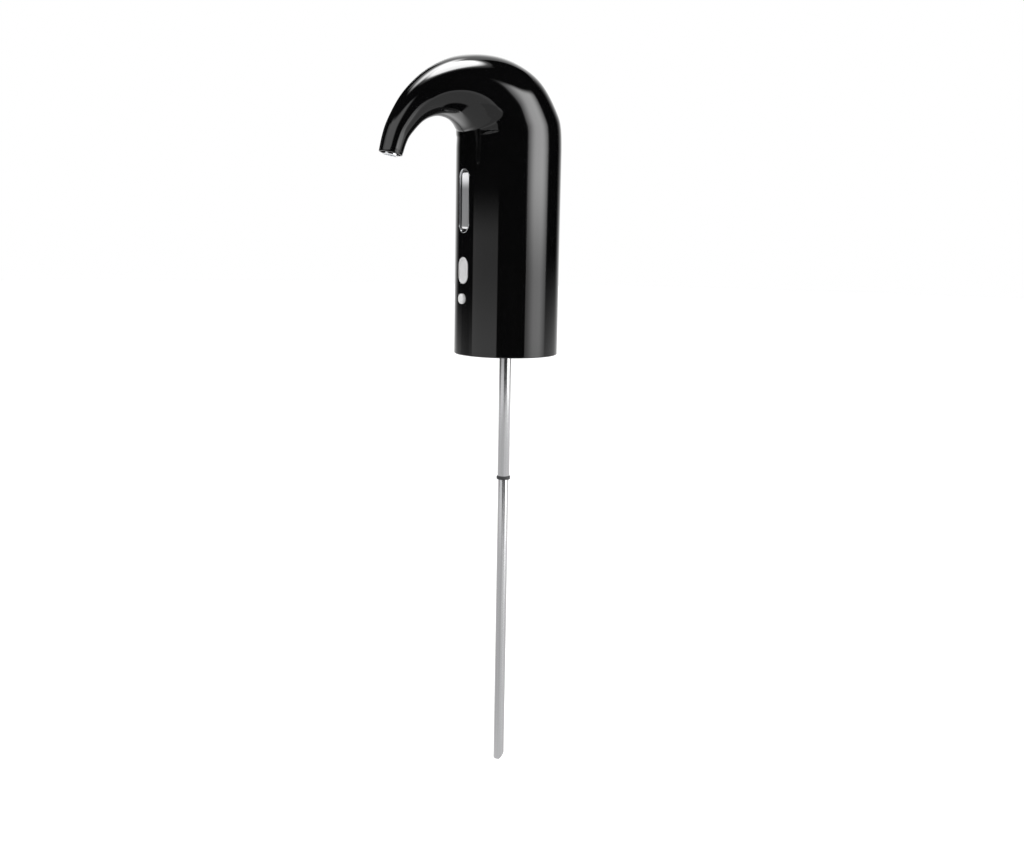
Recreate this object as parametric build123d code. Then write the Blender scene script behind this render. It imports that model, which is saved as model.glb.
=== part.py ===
from build123d import *
import math
import os

os.makedirs("parts", exist_ok=True)

# Electric wine aerator that stands on an open bottle. Sizes are in millimetres, angles in degrees.
# Z is up, the spout points to the front (-Y), and X = 0 is the plane where the housing halves meet.
# The origin is on the bottle's axis, in the plane that the bottle's lip meets.

overrun = 1.0  # how far a cut runs past what it cuts
fit = 0.05  # radial gap of a close fit
play = 0.3  # gap between pieces that stay apart

# Housing
body_r = 30.0
wall = 2.2
lip_depth = 27.0  # from the bottom rim up to the bottle's lip
shoulder_z = 89.0  # where the straight body starts to bend over
neck_reach = 76.3  # from the body's axis to the middle of the mouth
neck_rise = 32.0  # from the shoulder to the top of the neck's middle line
# Middle of the neck's cross sections: shares of reach, rise and body radius, then the tilt in degrees
neck_shares = [
    (0.000, 0.000, 1.000, 0),
    (0.004, 0.280, 0.993, 8),
    (0.025, 0.444, 0.973, 16),
    (0.104, 0.742, 0.903, 35),
    (0.218, 0.906, 0.810, 53),
    (0.342, 0.984, 0.700, 70),
    (0.477, 0.994, 0.578, 86),
    (0.613, 0.925, 0.460, 102),
    (0.730, 0.790, 0.368, 118),
    (0.836, 0.584, 0.300, 134),
    (0.931, 0.278, 0.249, 150),
    (0.971, 0.075, 0.229, 159),
    (1.000, -0.163, 0.216, 168),
]
neck_steps = 3  # sections from each of these to the next
tongue_h = 1.0  # the left half's lip that enters the right half
tongue_inset = 1.3
seam_w = 0.5
seam_depth = 0.4
mouth_wall = 2.03  # round the bore that holds the nozzle
mouth_depth = 9.5
mouth_lip = 0.98  # round the wider recess at the mouth
mouth_step_depth = 1.2
boss_r = 3.0
boss_h = 10.0
boss_sink = 0.2  # how far a screw boss reaches into the housing's wall
boss_angles = [45, 135, 225, 315]

# Front window, button and lamp
window_z = 59.9
window_h = 35.8
window_w = 10.8
bezel_w = 0.6
bezel_proud = 0.12
tray_sink = 1.6
tray_back = 1.1
flange_w = 1.2
bar_end = 2.35  # from the window's end to the light bar's
bar_side = 1.65
bar_corner_r = 1.6
bar_sink = 0.9
guide_w = 3.0
button_z = 21.1
button_h = 15.4
button_w = 10.0
button_proud = 0.35
button_dish = 0.25
button_rim = 1.7
button_gap = 0.2
button_edge_r = 0.3
button_flange_t = 1.0
button_stem_r = 2.2
button_travel = 0.4
lamp_z = 5.2
lamp_r = 3.25
lamp_proud = 1.2
lamp_guide_r = 1.8

# Control board behind the front
board_w = 17.0
board_t = 1.4
board_depth = 10.0  # of its front face behind the housing's face
board_bottom = 0.5
board_top = 80.0
board_hole_z = [11.0, 75.0]
board_hole_x = 6.2
board_screw_len = 5.5
led_w = 3.0
led_h = 1.6
led_t = 0.8
switch_w = 4.6
switch_t = 2.0
plunger_r = 1.2
plunger_sink = 0.9

# Socket over the bottle's mouth
socket_r = 15.75
socket_wall = 2.0
base_t = 2.0
base_inset = 1.0
deck_t = 2.0
gasket_t = 1.2
gasket_r = 14.8
core_flange_r = 9.5
core_flange_t = 2.0
core_stem_r = 6.8
core_stem_end = -22.0
core_screw_ring_r = 7.3
plug_wall = 1.3
plug_rib_r = 9.7
plug_rib_t = 1.6
plug_rib_count = 3
plug_land = 3.5  # plain length under the flange
plug_guide_r = 9.1
plug_guide_h = 6.0
plug_end = -23.5
air_x = 5.3
air_bore_r = 0.6
air_channel_r = 0.9
air_barb_r = 1.2
air_hose_r = 2.0
elbow_r = 2.8
wine_barb_r = 1.7
wine_bore_r = 1.1
wine_hose_r = 2.5
barb_len = 5.0

# Tube in the bottle
upper_tube_r = 3.5
upper_tube_bore = 3.16
upper_tube_top = -2.0
upper_tube_end = -100.0
lower_tube_r = 3.10
lower_tube_bore = 2.65
lower_tube_overlap = 28.0
lower_tube_end = -277.0
collar_h = 2.0
o_ring_t = 0.5

# Nozzle in the mouth
nozzle_wall = 1.4
nozzle_proud = 1.0
nozzle_throat = 6.0
nozzle_barb = 3.2
nozzle_edge_r = 0.4

# Wine hose
hose_back = 20.0  # its riser's distance behind the axis
hose_bend_r = 10.0
# Corners of the run over the neck: shares of the reach and of the rise above the shoulder, then the bend
hose_shares = [(-0.262, 0.50, 17.0), (0.03, 1.08, 22.0), (0.47, 1.08, 34.0), (0.79, 0.68, 24.0)]
hose_end_bend_r = 12.0
hose_end_run = 6.9

# Chassis
chassis_t = 2.0
chassis_front = 12.5  # distance of its front face from the body's axis
chassis_inset = 6.3  # of its long edges inside the housing's wall
chassis_top = 79.0
cradle_wall = 1.6
cradle_h = 8.0
cradle_grip_share = 0.3
foot_x = 10.5
foot_y = -7.5
foot_boss_h = 4.0
foot_boss_r = 2.3
shelf_t = 2.0
post_r = 2.0

# Battery
battery_r = 7.1
battery_len = 50.0
battery_x = -14.0
battery_y = 4.0
battery_z = 19.0
battery_tip_r = 2.6
battery_tip_h = 1.0

# Charging socket at the back
charge_z = -14.2
charge_w = 9.0
charge_h = 3.2
charge_depth = 8.4
charge_wall = 0.3
charge_tongue_t = 0.7
charge_board_w = 13.0
charge_board_d = 7.2
charge_board_t = 1.2
charge_sink = 0.8  # of its mouth below the housing's face

# Screws
screw_r = 1.1
screw_head_r = 2.0
small_screw_r = 0.8
small_screw_head_r = 1.6
small_screw_head_h = 0.8

# Air pump, head down
pump_z = 16.0
pump_r = 12.0
pump_wall = 1.4
pump_offset_x = 3.3  # from the air way's axis
pump_y = 2.2
head_h = 4.5
head_floor = 1.2
chamber_r = 5.6
chamber_wall = 0.8
valve_t = 2.0
membrane_t = 0.8
case_h = 17.7
case_deck_t = 1.5
cup_ring_r = 6.4
cup_r = 3.4
cup_wall = 0.7
cup_top_share = 0.62
stem_r = 0.8
lobe_r = 2.4
lobe_hole_r = 1.1
plate_t = 1.5
plate_hub_r = 2.4
plate_hub_h = 2.4
pivot_rise = 5.0  # above the membrane
tilt = 7.0  # of the drive pin
pin_r = 0.75
pin_rise = 5.6
hub_r = 4.2
hub_z0 = 3.2  # above the pivot
hub_h = 5.6
inlet_valve_r = 2.2
inlet_hole_at = 1.3
outlet_valve_r = 4.9
outlet_hole_at = 4.1
valve_hole_r = 0.5
valve_stem_r = 0.6
valve_flap_t = 0.5
pump_screw_ring_r = 9.6
pump_boss_r = 1.9
pump_screw_len = 17.0

# Motor
motor_r = 10.0
motor_len = 25.0
motor_wall = 0.8
motor_nose_r = 3.0
motor_nose_h = 1.3
magnet_t = 1.6
magnet_len = 19.0
magnet_arc = 130
armature_r = 7.2
armature_len = 17.0
armature_slot_w = 1.2
winding_r = 6.4
winding_h = 2.0
commutator_r = 2.6
commutator_h = 2.6
commutator_slot = 0.3
shaft_r = 1.0
shaft_drop = 5.5
bush_r = 2.4
bush_h = 2.2
end_cap_h = 4.0
terminal_w = 2.2
terminal_t = 0.5
terminal_h = 4.0
terminal_x = 6.0
motor_screw_x = 6.0

# Heights and places that follow from the sizes above
rim_z = -lip_depth
inner_r = body_r - wall
neck_end_r = neck_shares[-1][2] * body_r
mouth_r = neck_end_r - mouth_wall
mouth_step_r = neck_end_r - mouth_lip
nozzle_r = mouth_r - fit
nozzle_mouth_r = nozzle_r - nozzle_wall
boss_centre_r = inner_r - boss_r + boss_sink
bar_h = window_h - 2 * bar_end
bar_w = window_w - 2 * bar_side
board_front = body_r - board_depth
board_screw_tip = board_front - board_screw_len
chassis_w = 2 * (inner_r - chassis_inset)
charge_mouth = body_r - charge_sink
deck_z = gasket_t
deck_top = deck_z + deck_t
core_top = deck_top + core_flange_t
elbow_z = core_top + wine_hose_r + play
pump_x = air_x + pump_offset_x
pump_axis = (pump_x, pump_y)
valve_z = pump_z + head_h
membrane_z = valve_z + valve_t
case_z = membrane_z + membrane_t
motor_z = case_z + case_h
pivot_z = membrane_z + membrane_t + pivot_rise
motor_top = motor_z + motor_len
foot_top = deck_top + foot_boss_h
base_z = rim_z + base_inset
base_top = base_z + base_t
upright = (Align.CENTER, Align.CENTER, Align.MIN)


def rod(radius, bottom, top, at=(0, 0)):
    """An upright cylinder between two heights."""
    x, y = at
    return Pos(x, y, bottom) * Cylinder(radius, top - bottom, align=upright)


def hole(radius, bottom, top, at=(0, 0)):
    """A cylinder that cuts from one height to another and runs past both."""
    return rod(radius, bottom - overrun, top + overrun, at)


def cone(low_r, high_r, bottom, top, at=(0, 0)):
    """An upright cone between two heights."""
    return Pos(at[0], at[1], bottom) * Cone(low_r, high_r, top - bottom, align=upright)


def pipe(radius, bore, bottom, top, at=(0, 0)):
    """An upright tube between two heights."""
    return rod(radius, bottom, top, at) - hole(bore, bottom, top, at)


def block(x0, x1, y0, y1, z0, z1):
    """A box between three pairs of limits."""
    middle = ((x0 + x1) / 2, (y0 + y1) / 2, (z0 + z1) / 2)
    return Pos(*middle) * Box(x1 - x0, y1 - y0, z1 - z0)


def forward(shape, near, far, z, x=0):
    """A sketch pushed to the front, between two distances from the body's axis."""
    return extrude(Plane(origin=(x, -near, z), x_dir=(1, 0, 0), z_dir=(0, -1, 0)) * shape, far - near)


def upright_slot(height, width):
    return SlotOverall(height, width, rotation=90)


def curved(shape, near, far, z):
    """A sketch pushed to the front, with inner and outer faces round the body's axis."""
    bottom, top = z - window_h, z + window_h
    prism = forward(shape, near - wall, far + wall, z)
    return prism & pipe(far, near, bottom, top)


def polar(radius, angle, about=(0, 0)):
    turn = math.radians(angle)
    return (about[0] + radius * math.cos(turn), about[1] + radius * math.sin(turn))


def along(frame, radius, low, high):
    """A cylinder on a plane's axis, between two distances from the plane."""
    return extrude(frame.offset(low) * Circle(radius), high - low)


def mouth_frame():
    """The plane of the neck's end, facing out of it."""
    reach, rise, _, lean = neck_shares[-1]
    return neck_plane(reach, rise, lean)


def neck_plane(reach, rise, lean):
    turn = math.radians(lean)
    place = (0, -reach * neck_reach, shoulder_z + rise * neck_rise)
    return Plane(origin=place, x_dir=(1, 0, 0), z_dir=(0, -math.sin(turn), math.cos(turn)))


# Housing halves


def neck_sections(rows):
    """Sections that run smoothly through the rows, several from each row to the next."""
    sections = []
    for index in range(len(rows) - 1):
        before, here, after = rows[max(index - 1, 0)], rows[index], rows[index + 1]
        beyond = rows[min(index + 2, len(rows) - 1)]
        for step in range(neck_steps):
            t = step / neck_steps
            sections.append([smooth(*values, t) for values in zip(before, here, after, beyond)])
    return sections + [rows[-1]]


def smooth(before, here, after, beyond, t):
    """A value on the curve through four even places, a share of the way from the second to the third."""
    bend = 2 * before - 5 * here + 4 * after - beyond
    twist = 3 * here - before - 3 * after + beyond
    return here + ((after - before) * t + bend * t**2 + twist * t**3) / 2


def half_disc(radius, side):
    """Half of a disc on one side of X = 0."""
    arc = CenterArc((0, 0), radius, -90 * side, 180)
    return make_face(arc + Line(arc @ 1, arc @ 0))


def half_hull(side, inset, low=rim_z, rows=len(neck_shares)):
    """One half of the body and neck as a solid, drawn in by an inset."""
    discs = [Pos(0, 0, low) * half_disc(body_r - inset, side)]
    for reach, rise, girth, lean in neck_sections(neck_shares[:rows]):
        discs.append(neck_plane(reach, rise, lean) * half_disc(girth * body_r - inset, side))
    return loft(discs, ruled=True)


def half_room(side):
    """Half of the room inside the housing, open at the bottom."""
    return half_hull(side, wall, rim_z - overrun, len(neck_shares) - 1)


def mouth_cut():
    frame = mouth_frame()
    bore = along(frame, mouth_r, -mouth_depth, overrun)
    return bore + along(frame, mouth_step_r, -mouth_step_depth, overrun)


def front_cuts():
    """Holes for the window, the button, the lamp and the charging socket."""
    near, far = inner_r - wall, body_r + wall
    window = forward(upright_slot(window_h, window_w), near, far, window_z)
    grown = 2 * button_gap
    button = forward(upright_slot(button_h + grown, button_w + grown), near, far, button_z)
    lamp = forward(Circle(lamp_r + fit), near, far, lamp_z)
    slot = SlotOverall(charge_w + 2 * play, charge_h + 2 * play)
    back = Plane(origin=(0, near, charge_z), x_dir=(-1, 0, 0), z_dir=(0, 1, 0))
    return window + button + lamp + extrude(back * slot, far - near)


def slab(side, depth):
    """Everything near the seam on one side of it."""
    front = neck_reach + body_r
    top = shoulder_z + neck_rise + body_r
    x0, x1 = sorted((0, side * depth))
    return block(x0, x1, -front, body_r + overrun, rim_z - overrun, top)


def shell_bosses(side):
    """Screw bosses at the bottom of one half, with their pilot holes."""
    posts = Part()
    top = base_top + boss_h
    for angle in boss_angles:
        at = polar(boss_centre_r, angle)
        if at[0] * side > 0:
            posts += rod(boss_r, base_top, top, at)
            posts -= rod(screw_r + fit, base_top - overrun, top - wall, at)
    return posts & rod(body_r - wall / 2, rim_z, top)


def shell(side):
    """One housing half. The left half has a tongue on its seam and the right half the room for it."""
    half = half_hull(side, 0) - half_room(side)
    half -= slab(side, seam_w / 2) - half_hull(side, seam_depth, rim_z - overrun)
    if side < 0:
        half += (half_hull(1, tongue_inset) & slab(1, tongue_h)) - half_room(1)
    else:
        half -= half_hull(1, tongue_inset - fit, rim_z - overrun) & slab(1, tongue_h + fit)
    return half - mouth_cut() - front_cuts() + shell_bosses(side)


# Window, button and lamp


def window_bezel():
    inner_h, inner_w = window_h - 2 * bezel_w, window_w - 2 * bezel_w
    ring = upright_slot(window_h - 2 * fit, window_w - 2 * fit) - upright_slot(inner_h, inner_w)
    return curved(ring, inner_r, body_r + bezel_proud, window_z)


def window_tray():
    plug_h, plug_w = window_h - 2 * (bezel_w + fit), window_w - 2 * (bezel_w + fit)
    pocket = RectangleRounded(bar_w + 2 * fit, bar_h + 2 * fit, bar_corner_r)
    face = body_r - tray_sink
    back = inner_r - tray_back
    plug = curved(upright_slot(plug_h, plug_w), back, face, window_z)
    broad = upright_slot(window_h + 2 * flange_w, window_w + 2 * flange_w)
    flange = curved(broad, back, inner_r - fit, window_z)
    return plug + flange - forward(pocket, back - wall, body_r, window_z)


def light_bar():
    back = inner_r - tray_back
    bar = curved(RectangleRounded(bar_w, bar_h, bar_corner_r), back - fit, body_r - bar_sink, window_z)
    flange = RectangleRounded(bar_w + 2 * flange_w, bar_h + 2 * flange_w, bar_corner_r + flange_w)
    rear = back - fit - tray_back
    guide = forward(Rectangle(guide_w, bar_h), board_front + led_t + play, rear + tray_back / 2, window_z)
    return bar + curved(flange, rear, back - fit, window_z) + guide


def power_button():
    slot = upright_slot(button_h, button_w)
    face = body_r + button_proud
    back = inner_r - 2 * button_flange_t - play
    dish = upright_slot(button_h - 2 * button_rim, button_w - 2 * button_rim)
    cap = curved(slot, back, face, button_z)
    outer_edges = cap.faces().sort_by(Axis.Y)[0].edges()
    cap = fillet(outer_edges, button_edge_r) - curved(dish, face - button_dish, face + wall, button_z)
    broad = upright_slot(button_h + 2 * flange_w, button_w + 2 * flange_w)
    flange = forward(broad, back - button_flange_t / 2, back + button_flange_t / 2, button_z)
    tip = board_front + switch_t + button_travel + play
    return cap + flange + forward(Circle(button_stem_r), tip, back, button_z)


def indicator_lens():
    shank = forward(Circle(lamp_r), inner_r - wall, body_r, lamp_z)
    bulge = lamp_proud
    ball = (lamp_r**2 + bulge**2) / (2 * bulge)
    dome = Pos(0, -(body_r + bulge - ball), lamp_z) * Sphere(ball) & forward(
        Circle(lamp_r), body_r, body_r + bulge + overrun, lamp_z
    )
    near = inner_r - wall - tray_back
    flange = curved(Circle(lamp_r + flange_w), inner_r - tray_back, inner_r - fit, lamp_z)
    stem = forward(Circle(lamp_guide_r), board_front + led_t + play, near + wall, lamp_z)
    return shank + dome + flange + stem


# Control board


def board_points():
    return [(x, z) for x in (-board_hole_x, board_hole_x) for z in board_hole_z]


def control_board():
    middle = (board_bottom + board_top) / 2
    plate = RectangleRounded(board_w, board_top - board_bottom, post_r / 2)
    board = forward(plate, board_front - board_t, board_front, middle)
    for x, z in board_points():
        board -= forward(Circle(small_screw_r + fit), chassis_front, body_r, z, x)
    return board


def board_screws():
    screws = []
    for x, z in board_points():
        head = forward(Circle(small_screw_head_r), board_front, board_front + small_screw_head_h, z, x)
        shank = forward(Circle(small_screw_r), board_screw_tip, board_front, z, x)
        screws.append(head + shank)
    return Compound(children=screws)


def status_leds():
    heights = [window_z + share * bar_h for share in (-0.35, 0, 0.35)] + [lamp_z]
    chips = [forward(Rectangle(led_w, led_h), board_front, board_front + led_t, z) for z in heights]
    return Compound(children=chips)


def tact_switch():
    case = forward(Rectangle(switch_w, switch_w), board_front, board_front + switch_t, button_z)
    floor = board_front + switch_t - plunger_sink - button_travel - fit
    well = forward(Circle(plunger_r + fit), floor, body_r, button_z)
    return case - well


def switch_plunger():
    face = board_front + switch_t
    return forward(Circle(plunger_r), face - plunger_sink, face + button_travel + play, button_z)


# Socket and stopper


def base_cup():
    """Cup that drops over the bottle's mouth, with the flange that closes the housing's bottom."""
    plate = pipe(inner_r - fit, socket_r, base_z, base_top)
    cup = pipe(socket_r + socket_wall, socket_r, base_z, deck_top)
    deck = pipe(socket_r + overrun, core_stem_r + fit, deck_z, deck_top)
    base = plate + cup + deck
    for x in (-foot_x, foot_x):
        base += rod(foot_boss_r, deck_top, foot_top, (x, foot_y))
        base -= hole(small_screw_r + fit, deck_top + overrun, foot_top, (x, foot_y))
    for at in core_screw_points():
        base -= hole(small_screw_r + fit, deck_z + deck_t / 4 + overrun, deck_top, at)
    for angle in boss_angles:
        at = polar(boss_centre_r, angle)
        base -= hole(screw_r + 2 * fit, base_z, base_top, at)
        base -= hole(screw_head_r + 2 * fit, base_z, base_z + base_t / 2 - overrun, at)
    posts_top = charge_z - charge_h / 2 - charge_board_t
    for x in (-charge_board_w / 3, charge_board_w / 3):
        at = (x, charge_mouth - charge_depth + charge_board_d / 4)
        base += rod(post_r, base_top, posts_top, at)
    return base


def core_screw_points():
    return [polar(core_screw_ring_r, angle) for angle in boss_angles]


def base_screws():
    screws = []
    for angle in boss_angles:
        at = polar(boss_centre_r, angle)
        head = rod(screw_head_r, base_z, base_z + base_t / 2, at)
        screws.append(head + rod(screw_r, base_z + base_t / 2, base_z + boss_h - wall, at))
    return Compound(children=screws)


def bottle_stopper():
    """Soft ribbed plug: a flat flange under the lip's seat, ribs, and a plain guide that enters first."""
    root_r = core_stem_r + fit + plug_wall
    flange = rod(gasket_r, 0, gasket_t)
    sleeve = rod(root_r, plug_end, gasket_t)
    guide = rod(plug_guide_r, plug_end, plug_end + plug_guide_h)
    guide = chamfer(guide.edges().sort_by(Axis.Z)[0], plug_wall / 2)
    free = -plug_end - plug_guide_h - plug_land
    ribs = Part()
    for index in range(plug_rib_count):
        z = plug_end + plug_guide_h + free * (index + 0.5) / plug_rib_count
        ribs += cone(root_r, plug_rib_r, z, z + plug_rib_t)
    plug = flange + sleeve + guide + ribs
    plug -= rod(core_stem_r + fit, core_stem_end, gasket_t + overrun)
    return plug - rod(upper_tube_r + plug_wall, plug_end - overrun, gasket_t) - air_outlet(core_stem_end)


def air_outlet(top):
    """The hole that lets the pump's air out below the plug."""
    return rod(air_channel_r, plug_end - overrun, top + overrun, (air_x, 0))


def stopper_core():
    stem = rod(core_stem_r, core_stem_end + fit, deck_top + fit)
    flange = rod(core_flange_r, deck_top, core_top)
    elbow_top = elbow_z + elbow_r
    elbow = rod(elbow_r, core_top, elbow_top)
    side = Plane(origin=(0, 0, elbow_z), x_dir=(1, 0, 0), z_dir=(0, 1, 0))
    barb = extrude(side * Circle(wine_barb_r), elbow_r + barb_len)
    air_barb = rod(air_barb_r, core_top, core_top + barb_len, (air_x, 0))
    core = stem + flange + elbow + barb + air_barb
    core -= rod(upper_tube_r + fit, core_stem_end - overrun, upper_tube_top)
    core -= rod(wine_bore_r, upper_tube_top - overrun, elbow_z)
    core -= extrude(side * Circle(wine_bore_r), elbow_r + barb_len + overrun)
    core -= rod(air_channel_r, core_stem_end - overrun, core_top - air_channel_r, (air_x, 0))
    core -= rod(air_bore_r, deck_top, core_top + barb_len + overrun, (air_x, 0))
    for at in core_screw_points():
        core -= rod(small_screw_r + fit, deck_top - overrun, core_top + overrun, at)
    return core


def core_screws():
    screws = []
    for at in core_screw_points():
        shank = rod(small_screw_r, deck_z + deck_t / 2, core_top, at)
        screws.append(shank + rod(small_screw_head_r, core_top, core_top + small_screw_head_h, at))
    return Compound(children=screws)


# Tube that stands in the bottle


def dip_tube_upper():
    return pipe(upper_tube_r, upper_tube_bore, upper_tube_end, upper_tube_top - fit)


def dip_tube_lower():
    """Tube that slides in the upper one; its slanted foot can't seal on the glass."""
    tube = pipe(lower_tube_r, lower_tube_bore, lower_tube_end, upper_tube_end + lower_tube_overlap)
    side = 4 * lower_tube_r
    slant = Box(side, side, side, align=(Align.CENTER, Align.CENTER, Align.MAX))
    return tube - Pos(0, 0, lower_tube_end + lower_tube_r / 2) * Rot(X=45) * slant


def tube_collar():
    """Soft ring on the end of the upper tube that grips the lower one."""
    return pipe(upper_tube_r + o_ring_t, lower_tube_r + fit, upper_tube_end - collar_h, upper_tube_end)


# Nozzle and hoses


def spout_nozzle():
    frame = mouth_frame()
    body = along(frame, nozzle_r, fit - mouth_depth, nozzle_proud)
    front = body.faces().sort_by(Axis((0, 0, 0), frame.z_dir))[-1]
    body = fillet(front.edges(), nozzle_edge_r)
    top = mouth_depth + nozzle_barb
    body += along(frame, wine_barb_r, -top, -nozzle_throat)
    body -= along(frame, nozzle_mouth_r, -nozzle_throat, nozzle_proud + overrun)
    body -= along(frame, wine_bore_r, -(top + overrun), 0)
    ring = ring_plane()
    groove = along(ring, nozzle_r + overrun, 0, 2 * o_ring_t)
    return body - (groove - along(ring, nozzle_r - o_ring_t, 0, 2 * o_ring_t))


def ring_plane():
    frame = mouth_frame()
    return frame.offset(-mouth_depth / 2)


def nozzle_o_ring():
    ring = ring_plane().offset(o_ring_t / 2)
    return along(ring, mouth_r, 0, o_ring_t) - along(ring, nozzle_r - o_ring_t, 0, o_ring_t)


def hose_route():
    """Corners of the wine hose in the plane of symmetry, as (y, z), and the bend at each inner corner."""
    frame = mouth_frame()
    start = frame.origin - frame.z_dir * mouth_depth
    last = start - frame.z_dir * hose_end_run
    points = [(elbow_r + fit, elbow_z), (hose_back, elbow_z)]
    bends = [hose_bend_r]
    for reach, rise, bend in hose_shares:
        points.append((-reach * neck_reach, shoulder_z + rise * neck_rise))
        bends.append(bend)
    points += [(last.Y, last.Z), (start.Y, start.Z)]
    bends.append(hose_end_bend_r)
    return points, bends


def wine_hose():
    points, bends = hose_route()
    for corner, bend in zip(points[1:-1], bends):
        print("wine hose corner", [round(value, 1) for value in corner], "bend", bend)
    path = FilletPolyline(*[(0, y, z) for y, z in points], radius=bends)
    start = Plane(origin=path @ 0, x_dir=(1, 0, 0), z_dir=path % 0)
    solid = sweep(start * Circle(wine_hose_r), path=path)
    bore = sweep(start * Circle(wine_barb_r + fit), path=path)
    print("wine hose volume", round(solid.volume))
    print("wine hose section times length", round(math.pi * wine_hose_r**2 * path.length))
    return solid - bore


def air_hose():
    return pipe(air_hose_r, air_barb_r + fit, core_top, pump_z, (air_x, 0))


# Chassis, battery and charging socket


def cradle(at, radius, bottom, top):
    """A snap cradle that reaches from the chassis wall past the middle of a round piece."""
    outer = radius + fit + cradle_wall
    x, y = at
    reach = y + cradle_grip_share * radius
    arm = block(x - outer, x + outer, -(chassis_front - chassis_t), reach, bottom, top)
    return arm & (rod(outer, bottom, top, at) + block(x - outer, x + outer, -chassis_front, y, bottom, top))


def battery_shelf(back):
    battery = (battery_x, battery_y)
    low = battery_z - shelf_t
    left, right = battery_x - battery_r, battery_x + battery_r
    return block(left, right, back, battery_y, low, battery_z) + rod(battery_r, low, battery_z, battery)


def chassis_tab(x, back):
    """Tab that sits on one of the base's bosses, with its screw hole."""
    high = foot_top + shelf_t
    tab = block(x - foot_boss_r, x + foot_boss_r, back - chassis_t / 2, foot_y, foot_top, high)
    at = (x, foot_y)
    return tab + rod(foot_boss_r, foot_top, high, at) - hole(small_screw_r + fit, foot_top, high, at)


def chassis():
    """Upright wall with cradles for the battery, the motor and the pump, and posts for the board."""
    back = -(chassis_front - chassis_t)
    half = chassis_w / 2
    battery = (battery_x, battery_y)
    battery_top = battery_z + battery_len
    frame = block(-half, half, -chassis_front, back, deck_top + play, chassis_top)
    for z in (battery_z + cradle_h, battery_top - 2 * cradle_h):
        frame += cradle(battery, battery_r, z, z + cradle_h)
    frame += cradle(pump_axis, motor_r, motor_z + cradle_h, motor_z + 2 * cradle_h)
    frame += cradle(pump_axis, pump_r, case_z + cradle_h / 2, case_z + 1.5 * cradle_h)
    frame += battery_shelf(back) + chassis_tab(-foot_x, back) + chassis_tab(foot_x, back)
    frame -= rod(battery_r + fit, battery_z, chassis_top, battery)
    frame -= rod(motor_r + fit, motor_z, chassis_top, pump_axis)
    frame -= rod(pump_r + fit, pump_z, motor_z, pump_axis)
    for x, z in board_points():
        frame += forward(Circle(post_r), chassis_front - chassis_t / 2, board_front - board_t, z, x)
        frame -= forward(Circle(small_screw_r + fit), board_screw_tip - fit, board_front, z, x)
    return frame & rod(inner_r - play, deck_top, chassis_top)


def chassis_screws():
    screws = []
    for x in (-foot_x, foot_x):
        top = foot_top + shelf_t
        shank = rod(small_screw_r, deck_top + fit, top, (x, foot_y))
        screws.append(shank + rod(small_screw_head_r, top, top + small_screw_head_h, (x, foot_y)))
    return Compound(children=screws)


def battery_cell():
    at = (battery_x, battery_y)
    top = battery_z + battery_len
    can = rod(battery_r, battery_z, top - battery_tip_h, at)
    can = fillet(can.edges().filter_by(GeomType.CIRCLE), battery_tip_h / 2)
    return can + rod(battery_tip_r, top - 2 * battery_tip_h, top, at)


def charge_board():
    near = charge_mouth - charge_depth
    top = charge_z - charge_h / 2
    half = charge_board_w / 2
    return block(-half, half, near, near + charge_board_d - fit, top - charge_board_t, top) & rod(
        inner_r - play, top - charge_board_t, top
    )


def charge_port():
    near = charge_mouth - charge_depth
    back = Plane(origin=(0, near, charge_z), x_dir=(-1, 0, 0), z_dir=(0, 1, 0))
    outer = SlotOverall(charge_w, charge_h)
    inner = SlotOverall(charge_w - 2 * charge_wall, charge_h - 2 * charge_wall)
    shell = extrude(back * outer, charge_depth)
    shell -= extrude(back.offset(charge_wall * 4) * inner, charge_depth)
    tongue_w = charge_w - 6 * charge_tongue_t
    return shell + extrude(back * Rectangle(tongue_w, charge_tongue_t), charge_depth - charge_tongue_t)


# Air pump


def cup_points():
    return [polar(cup_ring_r, angle) for angle in (90, 210, 330)]


def screw_points():
    return [polar(pump_screw_ring_r, angle, pump_axis) for angle in (30, 150, 270)]


def pump_spot(point):
    return (pump_x + point[0], pump_y + point[1])


def pump_head():
    floor = pump_z + head_floor
    head = rod(pump_r, pump_z, valve_z, pump_axis)
    head -= rod(pump_r - pump_wall, floor, valve_z + overrun, pump_axis)
    head += pipe(chamber_r + chamber_wall, chamber_r, floor, valve_z, pump_axis)
    air = (air_x, 0)
    head += rod(air_barb_r, pump_z - barb_len, pump_z + head_floor / 2, air)
    head -= rod(air_bore_r, pump_z - barb_len - overrun, pump_z + head_floor + overrun, air)
    for at in screw_points():
        head += rod(pump_boss_r, pump_z, valve_z, at)
        head -= hole(small_screw_r + fit, pump_z, valve_z, at)
    inlet = Plane(origin=(pump_x, pump_y, (pump_z + valve_z) / 2), x_dir=(0, 1, 0), z_dir=(1, 0, 0))
    return head - along(inlet, air_barb_r, chamber_r + chamber_wall + fit, pump_r + overrun)


def valve_plate():
    plate = rod(pump_r, valve_z, membrane_z, pump_axis)
    plate -= hole(valve_stem_r + fit, valve_z, membrane_z, pump_axis)
    for point in cup_points():
        spot = pump_spot(point)
        side = math.degrees(math.atan2(point[1], point[0]))
        plate -= hole(valve_stem_r + fit, valve_z, membrane_z, spot)
        plate -= hole(valve_hole_r, valve_z, membrane_z, polar(outlet_hole_at, side, pump_axis))
        for turn in (-60, 60):
            plate -= hole(valve_hole_r, valve_z, membrane_z, polar(inlet_hole_at, side + turn, spot))
    for at in screw_points():
        plate -= hole(small_screw_r + fit, valve_z, membrane_z, at)
    return plate


def umbrella(radius, flap_low, flap_high, at):
    """A flap with its stem through the valve plate."""
    return rod(radius, flap_low, flap_high, at) + rod(valve_stem_r, valve_z, membrane_z, at)


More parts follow.
